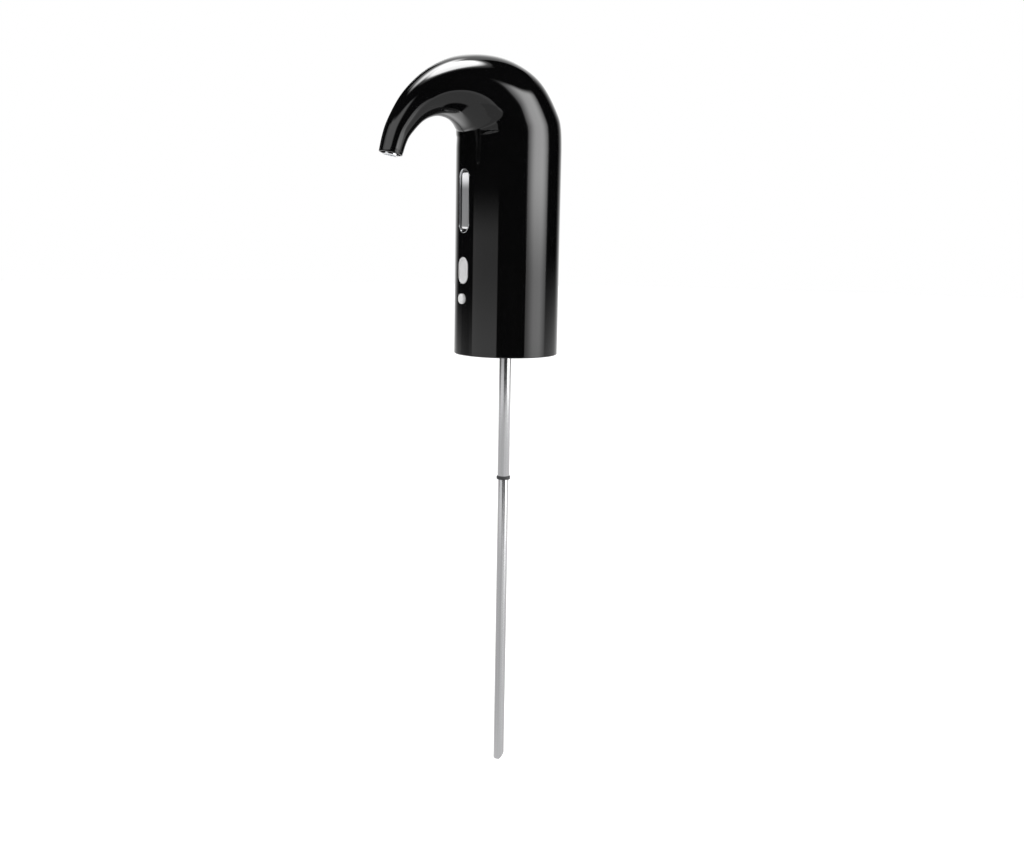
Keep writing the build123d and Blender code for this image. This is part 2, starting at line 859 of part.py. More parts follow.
def umbrella_valves():
    """Three inlet flaps in the cups and one outlet flap under the plate."""
    flaps = [umbrella(outlet_valve_r, valve_z - valve_flap_t, valve_z, pump_axis)]
    for point in cup_points():
        spot = pump_spot(point)
        flaps.append(umbrella(inlet_valve_r, membrane_z, membrane_z + valve_flap_t, spot))
    return Compound(children=flaps)


def tilted_frame():
    """The swash plate's plane at rest: its normal is the drive pin's axis."""
    turn = math.radians(tilt)
    normal = (math.sin(turn), 0, math.cos(turn))
    return Plane(origin=(pump_x, pump_y, pivot_z), x_dir=(math.cos(turn), 0, -math.sin(turn)), z_dir=normal)


def swash_plate():
    frame = tilted_frame()
    shape = Circle(lobe_r * 1.6)
    holes = Sketch()
    for point in cup_points():
        angle = math.degrees(math.atan2(point[1], point[0]))
        shape += Rot(Z=angle) * Pos(cup_ring_r / 2, 0) * SlotOverall(cup_ring_r + 2 * lobe_r, 2 * lobe_r)
        holes += Pos(*point) * Circle(lobe_hole_r)
    plate = extrude(frame * (shape - holes), plate_t)
    plate += extrude(frame * Circle(plate_hub_r), plate_hub_h)
    plate += extrude(frame * Circle(plate_hub_r / 2), -plate_t / 2)
    return plate - extrude(frame * Circle(pin_r + fit), plate_hub_h + overrun)


def drive_pin():
    frame = tilted_frame()
    return extrude(frame.offset(fit) * Circle(pin_r), pin_rise)


def eccentric_hub():
    low = pivot_z + hub_z0
    hub = rod(hub_r, low, low + hub_h, pump_axis)
    hub = chamfer(hub.edges().filter_by(GeomType.CIRCLE), pin_r / 2)
    hub -= rod(shaft_r + fit / 2, motor_z - shaft_drop, low + hub_h + overrun, pump_axis)
    return hub - extrude(tilted_frame() * Circle(pin_r + fit / 2), pin_rise + fit)


def diaphragm():
    """Thin sheet with three cups under the plate's arms, each with a stem through its arm."""
    sheet = rod(pump_r, membrane_z, case_z, pump_axis)
    frame = tilted_frame()
    slope = math.tan(math.radians(tilt))
    hollow = Part()
    for point in cup_points():
        spot = pump_spot(point)
        under = pivot_z - point[0] * slope
        lid = under - play - stem_r * slope * 3
        sheet += cone(cup_r, cup_r * cup_top_share, membrane_z + membrane_t / 2, lid, spot)
        narrow = cup_r * cup_top_share - cup_wall
        hollow += cone(cup_r - cup_wall, narrow, membrane_z - fit, lid - cup_wall, spot)
        root = frame.offset(-4 * play) * Pos(*point)
        sheet += extrude(root * Circle(stem_r), 6 * play + plate_t)
        sheet += extrude(frame.offset(plate_t + play) * Pos(*point) * Circle(lobe_hole_r + play), stem_r)
    sheet -= hollow
    for at in screw_points():
        sheet -= hole(small_screw_r + fit, membrane_z, case_z, at)
    return sheet


def pump_case():
    case = rod(pump_r, case_z, motor_z, pump_axis)
    case -= rod(pump_r - pump_wall, case_z - overrun, motor_z - case_deck_t, pump_axis)
    for at in screw_points():
        case += rod(pump_boss_r, case_z, motor_z - case_deck_t / 2, at)
        case -= rod(small_screw_r + fit, case_z - overrun, case_z + pump_screw_len - head_h, at)
    case -= hole(motor_nose_r + fit, motor_z - case_deck_t, motor_z, pump_axis)
    for x in (-motor_screw_x, motor_screw_x):
        at = (pump_x + x, pump_y)
        case -= hole(small_screw_r + fit, motor_z - case_deck_t, motor_z, at)
    return case


def pump_screws():
    screws = []
    for at in screw_points():
        head = rod(small_screw_head_r, pump_z - small_screw_head_h, pump_z, at)
        screws.append(head + rod(small_screw_r, pump_z, pump_z + pump_screw_len, at))
    return Compound(children=screws)


# Motor


def motor_can():
    """Can with a nose that holds the front bush."""
    nose_z, nose_top = motor_z - motor_nose_h, motor_z + motor_wall + bush_h
    can = rod(motor_r, motor_z, motor_top, pump_axis)
    can -= rod(motor_r - motor_wall, motor_z + motor_wall, motor_top + overrun, pump_axis)
    can += rod(motor_nose_r, nose_z, nose_top, pump_axis)
    can -= hole(bush_r + fit, nose_z, nose_top, pump_axis)
    for x in (-motor_screw_x, motor_screw_x):
        can -= hole(small_screw_r + fit, motor_z, motor_z + motor_wall, (pump_x + x, pump_y))
    return can


def motor_magnets():
    low = motor_z + motor_wall + (motor_len - magnet_len) / 2
    outer = motor_r - motor_wall - fit
    ring = pipe(outer, outer - magnet_t, low, low + magnet_len - end_cap_h / 2, pump_axis)
    gap = (180 - magnet_arc) / 2
    reach = 2 * motor_r
    wedge = make_face(Polyline((0, 0), polar(reach, gap), polar(reach, 180 - gap), close=True))
    slab = Pos(pump_x, pump_y, low) * extrude(wedge, magnet_len)
    mirrored = Pos(pump_x, pump_y, low) * Rot(Z=180) * extrude(wedge, magnet_len)
    return Compound(children=[ring & slab, ring & mirrored])


def armature():
    """Laminated core with three slots, and the windings that show past its ends."""
    low = motor_z + (motor_len - armature_len) / 2
    middle = armature_len - 2 * winding_h
    core = rod(armature_r, low, low + middle, pump_axis)
    core -= slots(2 * shaft_r, armature_r, armature_slot_w, low, low + middle, (90, 210, 330))
    wound = rod(winding_r, low - winding_h / 2, low + middle + winding_h, pump_axis)
    wound = fillet(wound.edges().filter_by(GeomType.CIRCLE), winding_h / 2 - fit)
    return core + wound - rod(shaft_r + fit / 2, motor_z, motor_top, pump_axis)


def slots(inner, outer, width, low, high, angles):
    """Radial cuts round the motor's axis."""
    cut = block(inner, outer + overrun, -width / 2, width / 2, low - overrun, high + overrun)
    return Part() + [Pos(pump_x, pump_y, 0) * Rot(Z=angle) * cut for angle in angles]


def commutator():
    high = motor_top - play
    low = high - commutator_h
    drum = pipe(commutator_r, shaft_r + fit / 2, low, high, pump_axis)
    return drum - slots(1.5 * shaft_r, commutator_r, commutator_slot, low, high, (30, 150, 270))


def motor_shaft():
    return rod(shaft_r, motor_z - shaft_drop, motor_top + end_cap_h - wall / 2, pump_axis)


def motor_bushes():
    low = motor_z - motor_nose_h
    front = pipe(bush_r, shaft_r + fit / 2, low, low + bush_h, pump_axis)
    rear = pipe(bush_r, shaft_r + fit / 2, motor_top + fit, motor_top + fit + bush_h, pump_axis)
    return Compound(children=[front, rear])


def motor_end_cap():
    cap = rod(motor_r, motor_top, motor_top + end_cap_h, pump_axis)
    cap = chamfer(cap.edges().sort_by(Axis.Z)[-1], motor_wall)
    cap += rod(motor_r - motor_wall - fit, motor_top - motor_wall, motor_top, pump_axis)
    cap -= rod(bush_r + fit, motor_top, motor_top + end_cap_h - motor_wall, pump_axis)
    cap -= rod(commutator_r + play, motor_top - 2 * motor_wall, motor_top, pump_axis)
    for x in (-terminal_x, terminal_x):
        cap -= terminal(x, fit)
    return cap


def terminal(x, grow):
    half_t = terminal_t / 2 + grow
    half_w = terminal_w / 2 + grow
    low = motor_top + end_cap_h / 2 - grow
    middle = pump_x + x
    return block(middle - half_t, middle + half_t, pump_y - half_w, pump_y + half_w, low, low + terminal_h)


def motor_terminals():
    return Compound(children=[terminal(x, 0) for x in (-terminal_x, terminal_x)])


def motor_screws():
    screws = []
    for x in (-motor_screw_x, motor_screw_x):
        at = (pump_x + x, pump_y)
        low = motor_z - case_deck_t
        head = rod(small_screw_head_r - 2 * fit, low - small_screw_head_h, low, at)
        screws.append(head + rod(small_screw_r, low, motor_z + motor_wall, at))
    return Compound(children=screws)


nodes = {
    "left_shell": shell(-1),
    "right_shell": shell(1),
    "window_bezel": window_bezel(),
    "window_tray": window_tray(),
    "light_bar": light_bar(),
    "power_button": power_button(),
    "indicator_lens": indicator_lens(),
    "control_board": control_board(),
    "board_screws": board_screws(),
    "status_leds": status_leds(),
    "tact_switch": tact_switch(),
    "switch_plunger": switch_plunger(),
    "base_cup": base_cup(),
    "base_screws": base_screws(),
    "bottle_stopper": bottle_stopper(),
    "stopper_core": stopper_core(),
    "core_screws": core_screws(),
    "dip_tube_upper": dip_tube_upper(),
    "dip_tube_lower": dip_tube_lower(),
    "tube_collar": tube_collar(),
    "spout_nozzle": spout_nozzle(),
    "nozzle_o_ring": nozzle_o_ring(),
    "wine_hose": wine_hose(),
    "air_hose": air_hose(),
    "chassis": chassis(),
    "chassis_screws": chassis_screws(),
    "battery_cell": battery_cell(),
    "charge_board": charge_board(),
    "charge_port": charge_port(),
    "pump_head": pump_head(),
    "valve_plate": valve_plate(),
    "umbrella_valves": umbrella_valves(),
    "diaphragm": diaphragm(),
    "swash_plate": swash_plate(),
    "drive_pin": drive_pin(),
    "eccentric_hub": eccentric_hub(),
    "pump_case": pump_case(),
    "pump_screws": pump_screws(),
    "motor_can": motor_can(),
    "motor_magnets": motor_magnets(),
    "armature": armature(),
    "commutator": commutator(),
    "motor_shaft": motor_shaft(),
    "motor_bushes": motor_bushes(),
    "motor_end_cap": motor_end_cap(),
    "motor_terminals": motor_terminals(),
    "motor_screws": motor_screws(),
}
for name, solid in nodes.items():
    export_step(solid, f"parts/{name}.step")
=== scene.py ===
import math

import bmesh
import bpy
from mathutils import Matrix, Vector


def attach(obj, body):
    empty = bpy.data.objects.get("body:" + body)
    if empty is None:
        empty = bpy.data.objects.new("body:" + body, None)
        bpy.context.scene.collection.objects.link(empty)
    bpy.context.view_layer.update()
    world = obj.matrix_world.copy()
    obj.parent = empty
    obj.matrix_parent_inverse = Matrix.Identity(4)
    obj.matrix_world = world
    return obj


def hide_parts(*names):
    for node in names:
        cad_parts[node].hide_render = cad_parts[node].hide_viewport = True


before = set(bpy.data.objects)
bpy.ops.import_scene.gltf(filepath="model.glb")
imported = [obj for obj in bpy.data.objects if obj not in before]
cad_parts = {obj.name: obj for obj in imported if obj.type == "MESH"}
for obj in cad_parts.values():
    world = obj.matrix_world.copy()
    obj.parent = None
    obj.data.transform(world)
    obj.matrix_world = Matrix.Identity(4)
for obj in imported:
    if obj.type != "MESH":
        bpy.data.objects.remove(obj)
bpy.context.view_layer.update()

# Housing halves: two moulded shells in polished black plastic that meet on the plane of symmetry.
# A fine groove shows where they meet, and the left half has a lip inside it that enters the right half.
# They follow the same middle line and sizes as the solids, with more sections and with broken edges.

MM = 0.001
WELD = MM / 1000
SMOOTH_ANGLE = 35
BODY_R = 30.0
WALL = 2.2
RIM_Z = -27.0
SHOULDER_Z = 89.0
REACH = 76.3
RISE = 32.0
NECK = [
    (0.000, 0.000, 1.000, 0),
    (0.004, 0.280, 0.993, 8),
    (0.025, 0.444, 0.973, 16),
    (0.104, 0.742, 0.903, 35),
    (0.218, 0.906, 0.810, 53),
    (0.342, 0.984, 0.700, 70),
    (0.477, 0.994, 0.578, 86),
    (0.613, 0.925, 0.460, 102),
    (0.730, 0.790, 0.368, 118),
    (0.836, 0.584, 0.300, 134),
    (0.931, 0.278, 0.249, 150),
    (0.971, 0.075, 0.229, 159),
    (1.000, -0.163, 0.216, 168),
]
NECK_STEPS = 10
NECK_SKIPPED = 2
STRAIGHT_STEPS = 12
ARC_STEPS = 72
SEAM_HALF = 0.25
SEAM_DEPTH = 0.4
EDGE_R = 0.16
EDGE_STEPS = 4
RIM_EDGE_R = 0.5
TONGUE = 1.0
TONGUE_GAP = 0.05
TONGUE_INSET = 1.3
MOUTH_R = 4.45
MOUTH_STEP_R = 5.5
MOUTH_STEP_DEPTH = 1.2
MOUTH_EDGE_R = 0.3
HOLE_EDGE_R = 0.25
SKIN_NEAR = 0.02
SKIN_SPARE = 0.001
SKIN_UPRIGHT = 0.8
CREASE_Z = 98.0
CREASE_FRONT = 0.85
CREASE_SIDE = 0.991
CREASE_SPINE = 0.82
BOSS_R = 3.0
BOSS_HOLE_R = 1.15
BOSS_AT = 25.0
BOSS_LOW = -24.0
BOSS_HIGH = -14.0
BOSS_STEPS = 32


def between(before, here, after, beyond, t):
    """A value on the smooth curve through four even places."""
    bend = 2 * before - 5 * here + 4 * after - beyond
    twist = 3 * here - before - 3 * after + beyond
    return here + ((after - before) * t + bend * t**2 + twist * t**3) / 2


def neck_section(place):
    """The centre, radius and tilt of the neck's section at a place along the table."""
    index = min(int(place), len(NECK) - 2)
    rows = [NECK[max(index - 1, 0)], NECK[index], NECK[index + 1], NECK[min(index + 2, len(NECK) - 1)]]
    reach, rise, girth, tilt = [between(*values, place - index) for values in zip(*rows)]
    return Vector((0, -reach * REACH, SHOULDER_Z + rise * RISE)), girth * BODY_R, math.radians(tilt)


def quarter(radius, steps):
    """Points of a quarter circle, as how far in and how far up from its low outer end."""
    turns = [math.radians(90) * step / steps for step in range(steps + 1)]
    return [(radius * (1 - math.cos(turn)), radius * math.sin(turn)) for turn in turns]


def rounded(radius, face, edge, steps, out=1, up=1):
    """Rows of radius and height round a corner. Out or up is -1 where the wall looks in or the face down."""
    rows = [(radius - out * inward, face - up * edge + up * rise) for inward, rise in quarter(edge, steps)]
    return rows if out == up else rows[::-1]


def shell_sections():
    """Every section from the rim to the mouth, as centre, outer radius, inner radius and tilt."""
    rim = rounded(BODY_R, RIM_Z, RIM_EDGE_R, EDGE_STEPS, up=-1)
    sections = [(Vector((0, 0, z)), radius, BODY_R - WALL, 0) for radius, z in rim]
    low = RIM_Z + RIM_EDGE_R
    for step in range(1, STRAIGHT_STEPS):
        z = low + (SHOULDER_Z - low) * step / STRAIGHT_STEPS
        sections.append((Vector((0, 0, z)), BODY_R, BODY_R - WALL, 0))
    last = len(NECK) - 1
    for step in range(last * NECK_STEPS - NECK_SKIPPED):
        centre, radius, tilt = neck_section(step / NECK_STEPS)
        sections.append((centre, radius, max(radius - WALL, MOUTH_R), tilt))
    end, radius, tilt = neck_section(last)
    out = Vector((0, -math.sin(tilt), math.cos(tilt)))
    for bore in (MOUTH_R, MOUTH_STEP_R):
        sections.append((end - out * MOUTH_STEP_DEPTH, radius, bore, tilt))
    for outer, along in rounded(radius, 0, MOUTH_EDGE_R, EDGE_STEPS):
        sections.append((end + out * along, outer, MOUTH_STEP_R, tilt))
    return sections


def seam_edge(radius):
    """The groove's floor, wall and rounded corner at one end of a half's outline."""
    corner = math.sqrt(radius**2 - (SEAM_HALF + EDGE_R) ** 2) - EDGE_R
    edge = [(0, radius - SEAM_DEPTH), (SEAM_HALF, radius - SEAM_DEPTH)]
    return edge + [(SEAM_HALF + inward, corner + up) for inward, up in quarter(EDGE_R, EDGE_STEPS)]


def shell_profile(radius, bore, side):
    """One half's closed outline in a section's plane, as distances across and back."""
    edge = seam_edge(radius)
    first = math.asin((SEAM_HALF + EDGE_R) / radius)
    turns = [first + (math.pi - 2 * first) * step / ARC_STEPS for step in range(1, ARC_STEPS)]
    outline = edge + [(radius * math.sin(turn), radius * math.cos(turn)) for turn in turns]
    outline += [(x, -y) for x, y in reversed(edge)]
    land = max(radius - TONGUE_INSET, bore + TONGUE_GAP)
    lip = -TONGUE if side < 0 else TONGUE + TONGUE_GAP
    steps = [(0, land), (lip, math.sqrt(land**2 - lip**2)), (lip, math.sqrt(bore**2 - lip**2))]
    start = -math.asin(TONGUE / bore) if side < 0 else math.asin(lip / bore)
    count = ARC_STEPS // 2
    turns = [start + (math.pi - 2 * start) * step / count for step in range(1, count)]
    inner = steps + [(bore * math.sin(turn), bore * math.cos(turn)) for turn in turns]
    inner += [(x, -y) for x, y in reversed(steps)]
    return [(side * x, y) for x, y in outline + inner[::-1]]


def side_faces(rings, count, closed=False):
    """Faces from each ring of places to the next, and from the last to the first if closed."""
    faces = []
    for row in range(rings if closed else rings - 1):
        low, high = row * count, (row + 1) % rings * count
        for index in range(count):
            after = (index + 1) % count
            faces.append((low + index, low + after, high + after, high + index))
    return faces


def swept_shell(side):
    """The vertices and faces of one half."""
    vertices = []
    sections = shell_sections()
    for centre, radius, bore, tilt in sections:
        back = Vector((0, math.cos(tilt), math.sin(tilt)))
        outline = shell_profile(radius, bore, side)
        vertices += [centre + back * y + Vector((x, 0, 0)) for x, y in outline]
    count = len(vertices) // len(sections)
    ends = [tuple(range(count)), tuple(reversed(range(len(vertices) - count, len(vertices))))]
    return vertices, side_faces(len(sections), count) + ends


def to_mesh(name, vertices, faces):
    """A closed mesh with its faces turned outwards, from places in millimetres."""
    mesh = bpy.data.meshes.new(name)
    mesh.from_pydata([Vector(place) * MM for place in vertices], [], faces)
    work = bmesh.new()
    work.from_mesh(mesh)
    bmesh.ops.remove_doubles(work, verts=work.verts, dist=WELD)
    bmesh.ops.recalc_face_normals(work, faces=work.faces)
    work.to_mesh(mesh)
    work.free()
    return mesh


def add_object(name, data):
    thing = bpy.data.objects.new(name, data)
    bpy.context.scene.collection.objects.link(thing)
    return thing


def add_piece(mesh, material, body, slot, *nodes, degrees=SMOOTH_ANGLE):
    """A piece, smooth where its faces meet at less than an angle, that stands for CAD nodes on a body."""
    for face in mesh.polygons:
        face.use_smooth = True
    mesh.set_sharp_from_angle(angle=math.radians(degrees))
    mesh.materials.clear()
    mesh.materials.append(material)
    piece = add_object(mesh.name, mesh)
    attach(piece, body)
    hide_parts(*nodes)


def rounded_outline(height, width, corner, steps=12):
    """A closed outline in the front view with round corners, as places and the directions out of it."""
    outline = []
    for quadrant, (sx, sz) in enumerate(((1, 1), (-1, 1), (-1, -1), (1, -1))):
        for step in range(steps + 1):
            turn = math.radians(90) * (quadrant + step / steps)
            out = (math.cos(turn), math.sin(turn))
            middle = (sx * (width / 2 - corner), sz * (height / 2 - corner))
            outline.append((middle[0] + corner * out[0], middle[1] + corner * out[1], out[0], out[1]))
    return outline


def wrapped(outline, rows, z, facing=-1):
    """Rings round the body's axis, from rows of the outline's growth and the distance from the axis."""
    rings = []
    for grow, distance in rows:
        ring = []
        for x, up, out_x, out_z in outline:
            across = x + grow * out_x
            depth = facing * math.sqrt(distance**2 - across**2)
            ring.append(Vector((across, depth, z + up + grow * out_z)))
        rings.append(ring)
    return rings


def rings_to_mesh(name, rings, closed=False):
    """A mesh from rings. Its ends are fans to their middles, unless the last ring joins the first."""
    vertices = [place for ring in rings for place in ring]
    count = len(rings[0])
    faces = side_faces(len(rings), count, closed)
    if not closed:
        for ring, start in ((rings[0], 0), (rings[-1], len(vertices) - count)):
            middle = sum(ring, Vector()) / count
            middle.y = math.copysign(max(abs(place.y) for place in ring), middle.y)
            vertices.append(middle)
            for index in range(count):
                faces.append((len(vertices) - 1, start + index, start + (index + 1) % count))
    return to_mesh(name, vertices, faces)


def hole_cutter(name, outline, z, facing=-1):
    """A cutter whose walls flare where they leave the housing, so that the hole gets a rounded edge."""
    rows = [(0, BODY_R - 2 * WALL), (0, BODY_R - HOLE_EDGE_R)]
    rows += [(inward, BODY_R - HOLE_EDGE_R + up) for inward, up in quarter(HOLE_EDGE_R, EDGE_STEPS)[1:]]
    rows.append((HOLE_EDGE_R, BODY_R + WALL))
    return add_object(name, rings_to_mesh(name, wrapped(outline, rows, z, facing)))


def cut(piece, cutters):
    """Takes the cutters out of a piece's mesh."""
    for cutter in cutters:
        change = piece.modifiers.new("cut", "BOOLEAN")
        change.operation = "DIFFERENCE"
        change.solver = "EXACT"
        change.object = cutter
    found = piece.evaluated_get(bpy.context.evaluated_depsgraph_get())
    mesh = bpy.data.meshes.new_from_object(found)
    piece.modifiers.clear()
    return mesh


def round_skin(mesh):
    """Gives the body a cylinder's exact normals, round the holes and up to the crease under the neck."""
    normals = [Vector()] * len(mesh.loops)
    for face in mesh.polygons:
        for loop in face.loop_indices:
            place = mesh.vertices[mesh.loops[loop].vertex_index].co / MM
            out = Vector((place.x, place.y, 0))
            upright = face.normal.dot(out.normalized())
            straight = RIM_Z + RIM_EDGE_R - HOLE_EDGE_R < place.z < SHOULDER_Z + SKIN_SPARE
            straight = straight and abs(out.length - BODY_R) < SKIN_NEAR and upright > SKIN_UPRIGHT
            spine = max(0, -place.y / BODY_R - CREASE_FRONT) / (1 - CREASE_FRONT)
            under = place.y < 0 and SHOULDER_Z - SKIN_SPARE < place.z < CREASE_Z
            under = under and out.length < BODY_R + WALL
            under = under and upright > CREASE_SIDE + (CREASE_SPINE - CREASE_SIDE) * spine
            if straight or under:
                normals[loop] = out.normalized()
    mesh.normals_split_custom_set(normals)


def act(tree, kind, settings=None, feeds=(), **sources):
    """A node with its settings and what feeds its inputs, in order or by title. Gives its first output."""
    node = tree.nodes.new(kind)
    for title, value in (settings or {}).items():
        setattr(node, title, value)
    for title, source in [*enumerate(feeds), *sources.items()]:
        socket = node.inputs[title.replace("_", " ") if isinstance(title, str) else title]
        for feed in source if isinstance(source, list) else [source]:
            if isinstance(feed, bpy.types.NodeSocket):
                tree.links.new(feed, socket)
            else:
                socket.default_value = feed
    return node.outputs[0]


def add_socket(tree, side, kind, title):
    """A socket on a group's input or output side."""
    return tree.interface.new_socket(
        name=title.replace("_", " "), in_out=side, socket_type="NodeSocket" + kind
    )


def open_group(name, **inputs):
    """A shader group with number inputs, two colours, and colour, roughness and height outputs."""
    group = bpy.data.node_groups.new(name, "ShaderNodeTree")
    for title, value in inputs.items():
        add_socket(group, "INPUT", "Float", title).default_value = value
    for title in ("Dark", "Light"):
        add_socket(group, "INPUT", "Color", title)
    for title, kind in {"Color": "Color", "Roughness": "Float", "Height": "Float"}.items():
        add_socket(group, "OUTPUT", kind, title)
    return group, group.nodes.new("NodeGroupInput").outputs


def own_place(group):
    """The piece's own coordinates."""
    return act(group, "ShaderNodeTexCoord").node.outputs["Object"]


def noise(group, size, detail, stretch=(1, 1, 1)):
    """Noise on the piece's own coordinates, pulled out along its axes."""
    place = act(group, "ShaderNodeMapping", Vector=own_place(group), Scale=stretch)
    return act(group, "ShaderNodeTexNoise", Vector=place, Scale=size, Detail=detail)


def mixed(group, factor, low, high, kind="FLOAT"):
    """A value or colour between two sockets."""
    mix = group.nodes.new("ShaderNodeMix")
    mix.data_type = kind
    a, b, result = (2, 3, 0) if kind == "FLOAT" else (6, 7, 2)
    for source, index in ((factor, 0), (low, a), (high, b)):
        group.links.new(source, mix.inputs[index])
    return mix.outputs[result]


def close_group(group, enter, share, relief, rough=None):
    """Feeds the outputs: from Dark to Light and from Smooth to Rough by a share, and the relief's height."""
    leave = group.nodes.new("NodeGroupOutput").inputs
    shade = mixed(group, share, enter["Dark"], enter["Light"], "RGBA")
    shine = mixed(group, share if rough is None else rough, enter["Smooth"], enter["Rough"])
    for title, source in {"Color": shade, "PaintedGlow": shade, "Roughness": shine, "Height": relief}.items():
        if title in leave:
            group.links.new(source, leave[title])


def finish(name, group, dark, light, relief=0.0, shader=None, **values):
    """A material whose colour, roughness and fine relief come from a surface group."""
    material = bpy.data.materials.new(name)
    material.use_nodes = True
    tree = material.node_tree
    principled = tree.nodes["Principled BSDF"].inputs
    for title, value in (shader or {}).items():
        principled[title].default_value = value
    surface = act(tree, "ShaderNodeGroup", {"node_tree": group}, Dark=(*dark, 1), Light=(*light, 1), **values)
    made = surface.node.outputs
    for title, source in {"Base Color": "Color", "Roughness": "Roughness", "Emission Color": "PaintedGlow"}.items():
        if source in made:
            tree.links.new(made[source], principled[title])
    bump = act(tree, "ShaderNodeBump", Distance=relief * MM, Height=made["Height"])
    tree.links.new(bump, principled["Normal"])
    return material


# Moulded plastic or rubber: broad patches that shine more or less, and fine grain.
moulded, enter = open_group("moulded_surface", Patch=30, Grain=900, Smooth=0.2, Rough=0.4)
close_group(moulded, enter, noise(moulded, enter["Patch"], 4), noise(moulded, enter["Grain"], 2))
piano_black = finish(
    "piano_black", moulded, (0.0025, 0.0025, 0.0027), (0.004, 0.004, 0.0042),
    relief=0.0004, Patch=45, Grain=260, Smooth=0.03, Rough=0.06, shader={"IOR": 1.5},
)

WINDOW = {"height": 35.8, "width": 10.8, "z": 59.9}
BUTTON = {"height": 14.9, "width": 9.3, "z": 21.1}
BUTTON_GAP = 0.2
LAMP_R = 2.9
LAMP_Z = 5.2
PORT = {"height": 3.8, "width": 9.6, "z": -14.2}
FIT = 0.05

window_outline = rounded_outline(WINDOW["height"], WINDOW["width"], WINDOW["width"] / 2)
button_hole = rounded_outline(
    BUTTON["height"] + 2 * BUTTON_GAP, BUTTON["width"] + 2 * BUTTON_GAP, BUTTON["width"] / 2 + BUTTON_GAP
)
lamp_hole = rounded_outline(2 * (LAMP_R + FIT), 2 * (LAMP_R + FIT), LAMP_R + FIT)
port_hole = rounded_outline(PORT["height"], PORT["width"], PORT["height"] / 2)
cutters = [
    hole_cutter("window_hole", window_outline, WINDOW["z"]),
    hole_cutter("button_hole", button_hole, BUTTON["z"]),
    hole_cutter("lamp_hole", lamp_hole, LAMP_Z),
    hole_cutter("port_hole", port_hole, PORT["z"], facing=1),
]


def boss_rings(x, y):
    """A screw boss as rings: up its outside and down its bore."""
    turns = [math.tau * step / BOSS_STEPS for step in range(BOSS_STEPS)]
    rows = [(BOSS_R, BOSS_LOW), (BOSS_R, BOSS_HIGH), (BOSS_HOLE_R, BOSS_HIGH), (BOSS_HOLE_R, BOSS_LOW)]
    return [
        [Vector((x + radius * math.cos(turn), y + radius * math.sin(turn), z)) for turn in turns]
        for radius, z in rows
    ]


def join_meshes(name, meshes):
    """One mesh out of several, each kept closed."""
    whole = bmesh.new()
    for mesh in meshes:
        whole.from_mesh(mesh)
    joined = bpy.data.meshes.new(name)
    whole.to_mesh(joined)
    whole.free()
    return joined


for name, side in (("housing_left", -1), ("housing_right", 1)):
    blank = add_object(name + "_blank", to_mesh(name + "_blank", *swept_shell(side)))
    skin = cut(blank, cutters)
    at = BOSS_AT * math.sqrt(0.5) * side
    bosses = [rings_to_mesh("boss", boss_rings(at, y), closed=True) for y in (-abs(at), abs(at))]
    shell = join_meshes(name, [skin, *bosses])
    add_piece(shell, piano_black, "housing", "housing", "left_shell" if side < 0 else "right_shell")
    round_skin(shell)
    bpy.data.objects.remove(blank)
for cutter in cutters:
    bpy.data.objects.remove(cutter)

# Window surround: a thin ring of chromed plastic, pressed into the long opening in the housing's front.
# Its rounded front edge stands just proud of the skin.

BEZEL_W = 0.6
BEZEL_PROUD = 0.12
BEZEL_STEPS = 10
INNER_R = BODY_R - WALL
METAL = {"Metallic": 1.0}


def marked_group(name, stretch):
    """Metal with fine marks that run one way, and a shine that varies with them."""
    group, enter = open_group(name, Marks=400, Smooth=0.1, Rough=0.3)
    marks = noise(group, enter["Marks"], 3, stretch)
    close_group(group, enter, marks, marks)
    return group


plated = marked_group("plated_surface", (1, 1, 1))
chrome = finish(
    "chrome", plated, (0.5, 0.51, 0.52), (0.58, 0.59, 0.6), relief=0.001,
    Marks=900, Smooth=0.06, Rough=0.12, shader=METAL,
)
crown = (BEZEL_W - FIT) / 2
turns = [math.pi * step / BEZEL_STEPS for step in range(BEZEL_STEPS + 1)]
bezel_rows = [(-FIT, INNER_R)]
middle = BODY_R + BEZEL_PROUD - crown
bezel_rows += [(-FIT - crown + crown * math.cos(turn), middle + crown * math.sin(turn)) for turn in turns]
bezel_rows.append((-BEZEL_W, INNER_R))
bezel = rings_to_mesh("window_ring", wrapped(window_outline, bezel_rows, WINDOW["z"]), closed=True)
add_piece(bezel, chrome, "housing", "bezel", "window_bezel")

# Window tray: a black moulding behind the ring, with the pocket that the light bar sits in.
# It is glued to the housing from inside by its flange.


def dress(material, *nodes):
    """Gives CAD nodes their material."""
    for name in nodes:
        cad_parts[name].material_slots[0].material = material


tray_black = finish(
    "tray_black", moulded, (0.003, 0.003, 0.003), (0.006, 0.006, 0.006),
    relief=0.002, Patch=60, Grain=1500, Smooth=0.12, Rough=0.2,
)
dress(tray_black, "window_tray")

# Light bar: a frosted clear bar with a broken edge, painted lighter with a painted glow towards its upper
# end, and with a painted highlight band at its foot.
# A flange behind the tray holds it, and a rib on its back leads the light in from the board.

BAR = {"height": 31.1, "width": 7.5, "corner": 1.6}
BAR_FACE = 29.1
BAR_BACK = 26.65
BAR_EDGE_R = 0.55
BAR_CROWN = 0.12
BAR_REAR = 25.55
BAR_FLANGE = 1.2
# Painted light on the bar: the heights where its top is painted lighter and glows, the heights of the painted
# highlight at its foot, and the painted glow's strength.
BAR_PAINTED_LIGHT = (66.0, 73.5)
BAR_PAINTED_FOOT_HIGHLIGHT = (45.2, 45.7)
BAR_PAINTED_GLOW = 0.25
GUIDE_W = 3.0
GUIDE_TIP = 21.1


def maths(tree, operation, *feeds):
    return act(tree, "ShaderNodeMath", {"operation": operation}, feeds)


